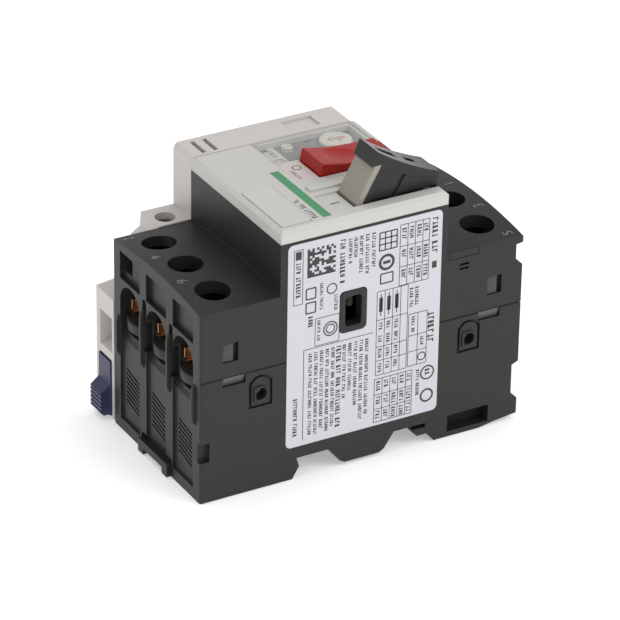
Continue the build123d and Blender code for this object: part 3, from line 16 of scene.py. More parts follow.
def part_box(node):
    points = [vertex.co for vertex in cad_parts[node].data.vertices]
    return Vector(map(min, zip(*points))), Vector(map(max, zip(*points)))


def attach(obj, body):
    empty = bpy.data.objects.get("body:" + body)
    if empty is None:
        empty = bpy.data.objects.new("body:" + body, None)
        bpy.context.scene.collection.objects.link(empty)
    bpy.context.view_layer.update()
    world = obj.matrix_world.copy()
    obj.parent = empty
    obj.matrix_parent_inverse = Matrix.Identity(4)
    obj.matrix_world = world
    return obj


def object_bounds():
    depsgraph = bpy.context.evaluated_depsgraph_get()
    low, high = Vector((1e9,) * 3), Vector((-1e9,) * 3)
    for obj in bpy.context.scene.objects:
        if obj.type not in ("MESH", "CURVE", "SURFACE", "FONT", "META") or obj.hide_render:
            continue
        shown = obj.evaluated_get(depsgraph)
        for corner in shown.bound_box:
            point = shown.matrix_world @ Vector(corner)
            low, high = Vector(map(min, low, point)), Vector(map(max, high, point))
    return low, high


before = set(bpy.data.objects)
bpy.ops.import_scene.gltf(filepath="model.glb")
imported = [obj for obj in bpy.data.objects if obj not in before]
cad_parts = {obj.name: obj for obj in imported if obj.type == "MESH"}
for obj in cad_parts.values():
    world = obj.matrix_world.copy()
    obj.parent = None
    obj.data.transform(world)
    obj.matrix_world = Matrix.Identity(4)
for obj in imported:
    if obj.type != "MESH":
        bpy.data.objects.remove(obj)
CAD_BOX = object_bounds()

MM = 0.001
ROOT = "breaker"
RING_STEPS = 32
Point = Sequence[float]
Pair = tuple[float, float]
Colour = tuple[float, float, float]
log = logging.getLogger("breaker")


# ------------------------------------------------------------------ shader wiring
@dataclass(frozen=True)
class Signal:
    """One output socket, usable in Python expressions."""

    wiring: "Wiring"
    socket: bpy.types.NodeSocket

    def _math(
        self, operation: str, left: "Signal | float", right: "Signal | float"
    ) -> "Signal":
        """Adds one Math node."""
        node = self.wiring.add("ShaderNodeMath", {"operation": operation}, {0: left, 1: right})
        return Signal(self.wiring, node.outputs[0])

    def __add__(self, other: "Signal | float") -> "Signal":
        """Signal plus a number or signal."""
        return self._math("ADD", self, other)

    __radd__ = __add__

    def __sub__(self, other: "Signal | float") -> "Signal":
        """Signal minus a number or signal."""
        return self._math("SUBTRACT", self, other)

    def __rsub__(self, other: "Signal | float") -> "Signal":
        """A number minus the signal."""
        return self._math("SUBTRACT", other, self)

    def __mul__(self, other: "Signal | float") -> "Signal":
        """Signal times a number or signal."""
        return self._math("MULTIPLY", self, other)

    __rmul__ = __mul__

    def clamped(self) -> "Signal":
        """The signal held between 0 and 1."""
        node = self.wiring.add("ShaderNodeClamp", {}, {0: self})
        return Signal(self.wiring, node.outputs[0])


class Wiring:
    """A material's node tree, with one way to add any node."""

    def __init__(self, material: bpy.types.Material) -> None:
        """Empties a material's node tree.

        Args:
            material: the material whose tree is rebuilt.
        """
        material.use_nodes = True
        self.tree = material.node_tree
        self.tree.nodes.clear()

    def add(
        self,
        kind: str,
        settings: dict[str, object] | None = None,
        inputs: dict[object, object] | None = None,
    ) -> bpy.types.Node:
        """Adds a node.

        Args:
            kind: the node's type.
            settings: its properties, set before its sockets.
            inputs: values or signals by socket name or number.

        Returns:
            The node.
        """
        node = self.tree.nodes.new(kind)
        for name, value in (settings or {}).items():
            setattr(node, name, value)
        for name, value in (inputs or {}).items():
            if isinstance(value, Signal):
                self.tree.links.new(value.socket, node.inputs[name])
            else:
                node.inputs[name].default_value = value
        return node

    def out(self, node: bpy.types.Node, name: object = 0) -> Signal:
        """One output of a node, as a signal."""
        return Signal(self, node.outputs[name])

    def place(self) -> Signal:
        """The point on the piece, in the model's own frame."""
        return self.out(self.add("ShaderNodeTexCoord"), "Object")

    def noise(self, scale: float, detail: float = 2.0, stretch: Point = (1, 1, 1)) -> Signal:
        """Smooth random values.

        Args:
            scale: features per metre.
            detail: octaves.
            stretch: scale along each axis.

        Returns:
            Values about 0.5.
        """
        place = self.place()
        if tuple(stretch) != (1, 1, 1):
            inputs = {"Vector": place, "Scale": tuple(stretch)}
            place = self.out(self.add("ShaderNodeMapping", {}, inputs))
        inputs = {"Vector": place, "Scale": scale, "Detail": detail}
        return self.out(self.add("ShaderNodeTexNoise", {}, inputs))

    def mix(self, share: object, first: object, second: object) -> Signal:
        """Blends two colours by a share from 0 to 1."""
        inputs = {0: share, 6: first, 7: second}
        return self.out(self.add("ShaderNodeMix", {"data_type": "RGBA"}, inputs), 2)

    def edge(self, radius: float) -> tuple[Signal, Signal]:
        """Rounded edges.

        Args:
            radius: the edge's radius in millimetres.

        Returns:
            The rounded normal, and a mask that is high on the edges.
        """
        rounded = self.out(self.add("ShaderNodeBevel", {"samples": 4}, {"Radius": radius * MM}))
        flat = self.out(self.add("ShaderNodeNewGeometry"), "Normal")
        facing = self.add(
            "ShaderNodeVectorMath", {"operation": "DOT_PRODUCT"}, {0: rounded, 1: flat}
        )
        return rounded, (1.0 - self.out(facing, "Value")).clamped()

    def bump(
        self, height: Signal, distance: float, strength: float = 1.0,
        normal: Signal | None = None,
    ) -> Signal:
        """Turns a height into a bent normal.

        Args:
            height: the height, from 0 to 1.
            distance: what a height of 1 stands for, in millimetres.
            strength: share of the effect.
            normal: the normal that it starts from, the surface's own unless given.

        Returns:
            The bent normal.
        """
        inputs = {"Strength": strength, "Distance": distance * MM, "Height": height}
        if normal is not None:
            inputs["Normal"] = normal
        return self.out(self.add("ShaderNodeBump", {}, inputs))

    def surface(self, sockets: dict[str, object]) -> None:
        """Adds the shader and connects it to the material's surface.

        Args:
            sockets: values or signals by the shader's socket names.
        """
        shader = self.add("ShaderNodeBsdfPrincipled", {}, sockets)
        output = self.tree.nodes.new("ShaderNodeOutputMaterial")
        self.tree.links.new(shader.outputs[0], output.inputs["Surface"])


# ------------------------------------------------------------------ finishes
@dataclass(frozen=True)
class Finish:
    """A procedural finish: one material, built once and shared by its pieces."""

    name: str
    colour: Colour

    @functools.cache
    def material(self) -> bpy.types.Material:
        """Builds the material once.

        Returns:
            The material.
        """
        made = bpy.data.materials.new(self.name)
        wiring = Wiring(made)
        wiring.surface(self.sockets(wiring))
        return made

    def shade(self, factor: float) -> tuple[float, float, float, float]:
        """The finish's colour with full opacity, brightened by a factor."""
        return (*(min(1.0, channel * factor) for channel in self.colour), 1.0)

    def sockets(self, w: Wiring) -> dict[str, object]:
        """The shader's sockets, which each kind of finish fills in its own way."""
        raise NotImplementedError


@dataclass(frozen=True)
class Moulded(Finish):
    """Moulded plastic: fine texture, faint mottling, and edges lightened in colour as a painted
    highlight.
    """

    roughness: float = 0.5
    texture_height: float = 0.008
    texture_size: float = 0.22
    edge_radius: float = 0.25
    # edge_lift and edge_gain set the share and the brightness of the painted edge highlight.
    edge_lift: float = 0.6
    mottle: float = 0.10
    gloss: float = 0.5
    edge_gain: float = 1.9
    cloud_scale: float = 90.0
    speck_scale: float = 1500.0

    def sockets(self, w: Wiring) -> dict[str, object]:
        """Wires the plastic.

        Args:
            w: the material's wiring.

        Returns:
            The shader's sockets.
        """
        cloud = w.noise(self.cloud_scale, 3.0)
        speck = w.noise(self.speck_scale, 2.0)
        grain = w.noise(1.0 / (self.texture_size * MM), 2.0)
        normal, edge = w.edge(self.edge_radius)
        body = w.mix(
            (cloud * 0.7 + speck * 0.3 - 0.15).clamped(),
            self.shade(1.0 - self.mottle),
            self.shade(1.0 + self.mottle),
        )
        # Painted highlight: the rounded-edge mask lightens the colour along every edge, varied
        # by the cloud noise.
        painted_edge_highlight = (edge * self.edge_lift * 2.0 * (0.6 + cloud * 0.8)).clamped()
        return {
            "Base Color": w.mix(painted_edge_highlight, body, self.shade(self.edge_gain)),
            "Roughness": self.roughness - 0.06 + cloud * 0.08 + speck * 0.04,
            "Specular IOR Level": self.gloss,
            "Normal": w.bump(grain, self.texture_height, normal=normal),
        }


@dataclass(frozen=True)
class Metal(Finish):
    """Bright or plated metal with drawn streaks, and a painted highlight on its edges."""

    roughness: float = 0.32
    streak: Point = (1.0, 12.0, 1.0)
    edge_radius: float = 0.12
    streak_scale: float = 900.0
    stain_scale: float = 220.0

    def sockets(self, w: Wiring) -> dict[str, object]:
        """Wires the metal.

        Args:
            w: the material's wiring.

        Returns:
            The shader's sockets.
        """
        drawn = w.noise(self.streak_scale, 2.0, self.streak)
        stain = w.noise(self.stain_scale, 3.0)
        normal, edge = w.edge(self.edge_radius)
        body = w.mix(stain, self.shade(0.82), self.shade(1.12))
        return {
            # Painted highlight: the colour is lighter along the edges.
            "Base Color": w.mix(edge.clamped(), body, self.shade(1.4)),
            "Metallic": 1.0,
            "Roughness": self.roughness + (drawn - 0.5) * 0.2 + (stain - 0.5) * 0.1,
            "Normal": w.bump(drawn, 0.01, 0.5, normal),
        }


@dataclass(frozen=True)
class Wound(Finish):
    """Enamelled winding wire, turn beside turn along the coil's axis."""

    wire: float = 0.8
    stain_scale: float = 260.0

    def sockets(self, w: Wiring) -> dict[str, object]:
        """Wires the turns.

        Args:
            w: the material's wiring.

        Returns:
            The shader's sockets.
        """
        wave = w.add(
            "ShaderNodeTexWave",
            {"wave_type": "BANDS", "bands_direction": "X", "wave_profile": "SIN"},
            {"Vector": w.place(), "Scale": math.pi / (10.0 * self.wire * MM)},
        )
        turns = w.out(wave, 1)
        stain = w.noise(self.stain_scale, 3.0)
        return {
            # Painted shade: the colour darkens in the grooves between turns and is lighter on
            # their crests.
            "Base Color": w.mix(
                (turns * 0.8 + stain * 0.2).clamped(), self.shade(0.35), self.shade(1.1)
            ),
            "Metallic": 0.8,
            "Roughness": 0.28 + stain * 0.15,
            "Normal": w.bump(turns, 0.25),
        }


@dataclass(frozen=True)
class Ink(Finish):
    """A printed layer, slightly uneven."""

    roughness: float = 0.45
    unevenness: float = 0.25
    patch_scale: float = 1800.0

    def sockets(self, w: Wiring) -> dict[str, object]:
        """Wires the ink.

        Args:
            w: the material's wiring.

        Returns:
            The shader's sockets.
        """
        patch = w.noise(self.patch_scale, 3.0)
        return {
            "Base Color": w.mix(
                patch, self.shade(1.0 - self.unevenness), self.shade(1.0 + self.unevenness)
            ),
            "Roughness": self.roughness + (patch - 0.5) * 0.12,
        }


@dataclass(frozen=True)
class Film(Finish):
    """A printed label's base film: smooth, with a faint waviness."""

    roughness: float = 0.38
    wave_scale: float = 70.0
    fibre_scale: float = 2600.0

    def sockets(self, w: Wiring) -> dict[str, object]:
        """Wires the film.

        Args:
            w: the material's wiring.

        Returns:
            The shader's sockets.
        """
        wave = w.noise(self.wave_scale, 2.0)
        fibre = w.noise(self.fibre_scale, 2.0)
        return {
            "Base Color": w.mix(
                (wave * 0.7 + fibre * 0.3).clamped(), self.shade(0.95), self.shade(1.03)
            ),
            "Roughness": self.roughness + (wave - 0.5) * 0.12,
            "Normal": w.bump(wave * 0.9 + fibre * 0.03, 0.05, 0.6),
        }


@dataclass(frozen=True)
class Clear(Finish):
    """A thin clear moulding."""

    opacity: float = 0.10
    edge_radius: float = 0.3
    haze_scale: float = 160.0

    def sockets(self, w: Wiring) -> dict[str, object]:
        """Wires the clear plastic.

        Args:
            w: the material's wiring.

        Returns:
            The shader's sockets.
        """
        haze = w.noise(self.haze_scale, 3.0)
        normal, edge = w.edge(self.edge_radius)
        return {
            "Base Color": w.mix(haze, self.shade(0.92), self.shade(1.04)),
            "Roughness": 0.10 + haze * 0.10,
            # Painted highlight: the pale colour turns opaque along the edges, so they show as
            # light lines.
            "Alpha": (self.opacity + haze * 0.08 + edge * 1.2).clamped(),
            "Normal": normal,
        }


HOUSING = Moulded(
    "housing_charcoal", (0.0195, 0.0188, 0.0180), roughness=0.47, edge_lift=1.3, gloss=0.36,
    edge_gain=3.4, mottle=0.16,
)
# Painted highlight: the raised pole numbers are coloured far lighter than the plastic they are
# moulded in.
NUMERAL_HIGHLIGHT = Moulded("numeral_painted_highlight", (0.17, 0.168, 0.165), roughness=0.5, edge_radius=0.05)
COVER = Moulded(
    "cover_off_white", (0.575, 0.565, 0.54), roughness=0.42, mottle=0.03, edge_lift=0.2
)
TAG = Moulded("tag_white", (0.585, 0.575, 0.55), roughness=0.33, mottle=0.02, edge_lift=0.2)
AUX = Moulded(
    "aux_warm_white", (0.60, 0.563, 0.537), roughness=0.44, mottle=0.04, edge_lift=0.2
)
CLIP = Moulded("clip_grey", (0.095, 0.095, 0.096), roughness=0.45)
TAB = Moulded("tab_grey", (0.045, 0.045, 0.045), roughness=0.4, edge_gain=3.0)
START = Moulded(
    "start_black", (0.0090, 0.0079, 0.0075), roughness=0.30, edge_radius=0.5, edge_lift=1.6,
    gloss=0.42, edge_gain=7.0,
)
SLIDE = Moulded("slide_grey", (0.31, 0.29, 0.245), roughness=0.5, edge_lift=0.5, mottle=0.05)
STOP = Moulded(
    "stop_red", (0.37, 0.010, 0.006), roughness=0.34, edge_radius=0.8, edge_lift=0.5, gloss=0.3,
)
LATCH_BLUE = Moulded("latch_navy", (0.022, 0.028, 0.085), roughness=0.42, edge_lift=0.8)
IVORY = Moulded("dial_ivory", (0.62, 0.60, 0.54), roughness=0.42, mottle=0.05)
PANEL = Moulded("panel_grey", (0.15, 0.145, 0.142), roughness=0.5, mottle=0.06)
INNER = Moulded("inner_beige", (0.42, 0.39, 0.33), roughness=0.55, mottle=0.08)
STEEL = Metal("plated_steel", (0.60, 0.60, 0.61))
SPRING = Metal("spring_wire", (0.50, 0.50, 0.52), roughness=0.25)
COPPER = Metal("copper_alloy", (0.78, 0.42, 0.22), roughness=0.35, streak=(12.0, 1.0, 1.0))
ZINC = Metal("yellow_zinc", (0.62, 0.52, 0.34), roughness=0.34)
WINDING = Wound("enamelled_winding", (0.62, 0.24, 0.07))
LABEL = Film("label_film", (0.60, 0.605, 0.645))
BLACK_INK = Ink("black_ink", (0.035, 0.028, 0.028), unevenness=0.4)
GREY_INK = Ink("grey_ink", (0.16, 0.155, 0.15), unevenness=0.3)
# Painted shade: near-black for the shadow inside the seam between the housings.
SEAM_SHADE = Ink("seam_shade", (0.0025, 0.0025, 0.0025), roughness=0.8)
GREEN_INK = Ink("green_ink", (0.060, 0.28, 0.125), unevenness=0.08)
PINK_INK = Ink("pale_legend", (0.62, 0.54, 0.52), unevenness=0.05)
ORANGE_INK = Ink("orange_mark", (0.55, 0.20, 0.05), unevenness=0.15)
CLEAR = Clear("clear_flap", (0.86, 0.86, 0.85))


# ------------------------------------------------------------------ mesh building
class Axis(Enum):
    """Direction that a round shape points along."""

    X = Matrix.Rotation(math.pi / 2, 4, "Y")
    Y = Matrix.Rotation(math.pi / 2, 4, "X")
    Z = Matrix.Identity(4)


class Shape:
    """A mesh under construction, in millimetres in the model's frame."""

    def __init__(self, name: str) -> None:
        """Starts an empty mesh for the named piece."""
        self.name = name
        self.mesh = bmesh.new()

    def slab(self, low: Point, high: Point) -> list[bmesh.types.BMVert]:
        """Adds a block between two corners.

        Args:
            low: lowest corner.
            high: highest corner.

        Returns:
            The block's vertices.
        """
        verts = bmesh.ops.create_cube(self.mesh, size=1.0)["verts"]
        bmesh.ops.scale(self.mesh, vec=Vector(high) - Vector(low), verts=verts)
        bmesh.ops.translate(self.mesh, vec=(Vector(low) + Vector(high)) / 2, verts=verts)
        return verts

    def drum(
        self, centre: Point, radius: float, depth: float, axis: Axis = Axis.Z,
        segments: int = 40,
    ) -> None:
        """Adds a closed cylinder.

        Args:
            centre: middle of the shape.
            radius: radius of the cylinder.
            depth: length along the axis.
            axis: direction of the axis.
            segments: sides.
        """
        bmesh.ops.create_cone(
            self.mesh, cap_ends=True, segments=segments, radius1=radius, radius2=radius,
            depth=depth, matrix=Matrix.Translation(Vector(centre)) @ axis.value,
        )

    def band(self, outer: Iterable[Point], inner: Iterable[Point], push: Point) -> None:
        """Adds a flat band between two loops with as many points each, and thickens it.

        Args:
            outer: points of the outer loop.
            inner: points of the inner loop.
            push: thickness as a vector.
        """
        edges = []
        for loop in (outer, inner):
            verts = [self.mesh.verts.new(Vector(point)) for point in loop]
            edges += [self.mesh.edges.new((verts[i - 1], verts[i])) for i in range(len(verts))]
        faces = bmesh.ops.bridge_loops(self.mesh, edges=edges)["faces"]
        self._push(faces, push)

    def plate(self, outline: Iterable[Point], push: Point) -> None:
        """Adds a flat outline and thickens it.

        Args:
            outline: corner points.
            push: thickness as a vector.
        """
        face = self.mesh.faces.new([self.mesh.verts.new(Vector(point)) for point in outline])
        self._push([face], push)

    def _push(self, faces: list[bmesh.types.BMFace], push: Point) -> None:
        """Extrudes faces into a closed body.

        Args:
            faces: the faces, which stay as its other side.
            push: thickness as a vector.
        """
        made = bmesh.ops.extrude_face_region(self.mesh, geom=faces, use_keep_orig=True)["geom"]
        verts = [item for item in made if isinstance(item, bmesh.types.BMVert)]
        bmesh.ops.translate(self.mesh, vec=Vector(push), verts=verts)

    def soften(self, width: float, segments: int = 2, sharp: float = 30.0) -> None:
        """Rounds every edge sharper than an angle.

        Args:
            width: width of the rounding in millimetres.
            segments: steps across it.
            sharp: smallest angle in degrees that is rounded.
        """
        limit = math.radians(sharp)
        edges = [
            edge for edge in self.mesh.edges
            if edge.is_manifold and edge.calc_face_angle(0.0) > limit
        ]
        bmesh.ops.bevel(
            self.mesh, geom=edges, offset=width, segments=segments, affect="EDGES",
            profile=0.5, material=-1, clamp_overlap=True,
        )

    def settle(
        self, finish: Finish, body: str = ROOT, slot: str | None = None, smooth: float = 35.0
    ) -> bpy.types.Object:
        """Makes the piece an object that rides on a body.

        Args:
            finish: its finish.
            body: the CAD body that it moves with.
            smooth: edges below this angle shade smoothly, in degrees.

        Returns:
            The object.
        """
        bmesh.ops.recalc_face_normals(self.mesh, faces=self.mesh.faces)
        bmesh.ops.scale(self.mesh, vec=(MM,) * 3, verts=self.mesh.verts)
        limit = math.radians(smooth)
        for edge in self.mesh.edges:
            edge.smooth = edge.is_manifold and edge.calc_face_angle(0.0) < limit
        for face in self.mesh.faces:
            face.smooth = True
        data = bpy.data.meshes.new(self.name)
        self.mesh.to_mesh(data)
        self.mesh.free()
        return settle(data, self.name, finish, body)


def settle(
    data: bpy.types.Mesh, name: str, finish: Finish, body: str = ROOT
) -> bpy.types.Object:
    """Links a finished mesh as a piece.

    Args:
        data: the mesh, in metres.
        name: the piece's name.
        finish: its finish.
        body: the CAD body that it moves with.

    Returns:
        The object.
    """
    data.materials.append(finish.material())
    piece = bpy.data.objects.new(name, data)
    bpy.context.scene.collection.objects.link(piece)
    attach(piece, body)
    log.info("%s: %d faces on %s", name, len(data.polygons), body)
    return piece


def rounded(
    centre: Pair, size: Pair, radius: float, steps: int = 5
) -> list[Pair]:
    """Corner points of a rounded rectangle in a plane.

    Args:
        centre: its middle.
        size: width and height.
        radius: corner radius.
        steps: points to a corner, less one.

    Returns:
        The points in order.
    """
    points = []
    for quarter, (right, up) in enumerate(((1, 1), (-1, 1), (-1, -1), (1, -1))):
        middle = (
            centre[0] + right * (size[0] / 2 - radius),
            centre[1] + up * (size[1] / 2 - radius),
        )
        for step in range(steps + 1):
            angle = math.radians(90 * quarter + 90 * step / steps)
            points.append(
                (middle[0] + radius * math.cos(angle), middle[1] + radius * math.sin(angle))
            )
    return points


def numeral(
    name: str, text: str, height: float, place: Point, along: Point, up: Point,
    finish: Finish, thickness: float = 0.1,
) -> bpy.types.Object:
    """Adds raised numerals or marks.

    Args:
        name: the piece's name.
        text: the characters.
        height: character height in millimetres.
        place: middle of the text's base line.
        along: reading direction.
        up: direction of the characters' tops.
        finish: their finish.
        thickness: how far they stand proud, in millimetres.

    Returns:
        The object.
    """
    curve = bpy.data.curves.new(name, "FONT")
    curve.body = text
    curve.align_x = "CENTER"
    curve.align_y = "CENTER"
    curve.size = height * 1.4 * MM
    curve.extrude = thickness / 2 * MM
    curve.resolution_u = 4
    holder = bpy.data.objects.new(name + "_text", curve)
    bpy.context.scene.collection.objects.link(holder)
    data = bpy.data.meshes.new_from_object(holder)
    bpy.data.objects.remove(holder)
    side, top = Vector(along).normalized(), Vector(up).normalized()
    out = side.cross(top)
    turn = Matrix((side, top, out)).transposed().to_4x4()
    data.transform(Matrix.Translation(Vector(place) * MM) @ turn)
    return settle(data, name, finish)


def dress(finish: Finish, *nodes: str) -> None:
    """Gives CAD nodes a finish.

    Args:
        finish: the finish.
        nodes: the nodes' names.
    """
    for node in nodes:
        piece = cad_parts[node]
        for slot in piece.material_slots:
            slot.material = finish.material()
        log.info("%s: dressed in %s", node, finish.name)


def span(node: str) -> tuple[Vector, Vector]:
    """A CAD node's lowest and highest corners, in millimetres."""
    low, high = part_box(node)
    return low / MM, high / MM


# ------------------------------------------------------------------ print on flat faces
@dataclass
class Print:
    """Small printed blocks on a flat face, placed by distance across and down from a corner."""

    shape: Shape
    corner: Vector
    across: Vector
    down: Vector
    out: Vector
    proud: float = 0.03
    dice: random.Random = field(default_factory=lambda: random.Random(7))

    def block(self, u0: float, u1: float, v0: float, v1: float) -> None:
        """Prints a solid rectangle.

        Args:
            u0: one side, across.
            u1: the other side, across.
            v0: one end, down.
            v1: the other end, down.
        """
        first = self.corner + self.across * min(u0, u1) + self.down * min(v0, v1)
        second = (
            self.corner + self.across * max(u0, u1) + self.down * max(v0, v1)
            + self.out * self.proud
        )
        low = [min(a, b) for a, b in zip(first, second)]
        high = [max(a, b) for a, b in zip(first, second)]
        self.shape.slab(low, high)

    def line(self, u: float, v0: float, v1: float, height: float, gap: float = 0.3) -> None:
        """Prints a run of letter-like ticks down the face.

        Args:
            u: middle of the line, across.
            v0: where it starts.
            v1: where it ends.
            height: size of the ticks, across.
            gap: share of a tick's length left between words.
        """
        place = v0
        word = self.dice.randint(3, 8)
        while place < v1 - 0.4 * height:
            length = height * self.dice.uniform(0.4, 0.62)
            kind = self.dice.randint(0, 3)
            low, high = u - height / 2, u + height / 2
            stroke = height * 0.19
            if kind != 1:
                self.block(low, high, place, place + stroke)
            if kind != 2:
                self.block(low if kind else high - stroke, low + stroke if kind else high,
                           place, place + length)
            if kind in (1, 3):
                middle = place + length / 2
                self.block(low, high, middle - stroke / 2, middle + stroke / 2)
            if kind == 2:
                self.block(u - stroke / 2, u + stroke / 2, place, place + length)
                self.block(low, high, place + length - stroke, place + length)
            place += length + height * 0.2
            word -= 1
            if word == 0:
                place += height * (0.3 + gap)
                word = self.dice.randint(3, 8)

    def grid(self, us: Sequence[float], vs: Sequence[float], stroke: float = 0.16) -> None:
        """Prints a table's rules.

        Args:
            us: places of the rules that run down.
            vs: places of the rules that run across.
            stroke: thickness of a rule.
        """
        for u in us:
            self.block(u - stroke / 2, u + stroke / 2, vs[0], vs[-1])
        for v in vs:
            self.block(us[0], us[-1], v - stroke / 2, v + stroke / 2)

    def cells(
        self, us: Sequence[float], vs: Sequence[float], length: float, height: float
    ) -> None:
        """Prints a short line in each cell of a table.

        Args:
            us: middles of the columns.
            vs: tops of the lines.
            length: length of a line.
            height: size of its ticks.
        """
        for u in us:
            for v in vs:
                self.line(u, v, v + length, height)

    def ring(self, u: float, v: float, radius: float, stroke: float = 0.3) -> None:
        """Prints a plain ring.

        Args:
            u: its middle, across.
            v: its middle, down.
            radius: its outer radius.
            stroke: its thickness.
        """
        loops = []
        for size in (radius, radius - stroke):
            loops.append([
                self.corner + self.across * (u + size * math.cos(math.tau * i / RING_STEPS))
                + self.down * (v + size * math.sin(math.tau * i / RING_STEPS))
                for i in range(RING_STEPS)
            ])
        self.shape.band(loops[0], loops[1], self.out * self.proud)

    def pierced(
        self, sides: tuple[float, float, float, float], u: float, v: float, radius: float
    ) -> None:
        """Prints a solid rectangle with a round hole through it.

        Args:
            sides: the rectangle as u0, u1, v0 and v1.
            u: middle of the hole, across.
            v: middle of the hole, down.
            radius: radius of the hole.
        """
        u0, u1, v0, v1 = sides
        half = radius + 0.4
        self.block(u0, u - half, v0, v1)
        self.block(u + half, u1, v0, v1)
        self.block(u - half, u + half, v0, v - half)
        self.block(u - half, u + half, v + half, v1)
        square, round_edge = [], []
        for i in range(RING_STEPS):
            angle = math.tau * i / RING_STEPS
            along, aside = math.cos(angle), math.sin(angle)
            reach = half / max(abs(along), abs(aside))
            for loop, size in ((square, reach), (round_edge, radius)):
                loop.append(
                    self.corner + self.across * (u + size * along)
                    + self.down * (v + size * aside)
                )
        self.shape.band(square, round_edge, self.out * self.proud)

    def matrix(self, u: float, v: float, cells: int, cell: float) -> None:
        """Prints a square of random cells with two solid sides; it encodes nothing.

        Args:
            u: its first corner, across.
            v: its first corner, down.
            cells: cells to a side.
            cell: size of a cell.
        """
        for i in range(cells):
            for j in range(cells):
                solid = i == 0 or j == cells - 1
                dotted = (j == 0 and i % 2 == 0) or (i == cells - 1 and j % 2 == 1)
                inside = 0 < i < cells - 1 and 0 < j < cells - 1
                if solid or dotted or (inside and self.dice.random() < 0.5):
                    self.block(
                        u + i * cell, u + (i + 1) * cell + 0.005, v + j * cell,
                        v + (j + 1) * cell + 0.005,
                    )


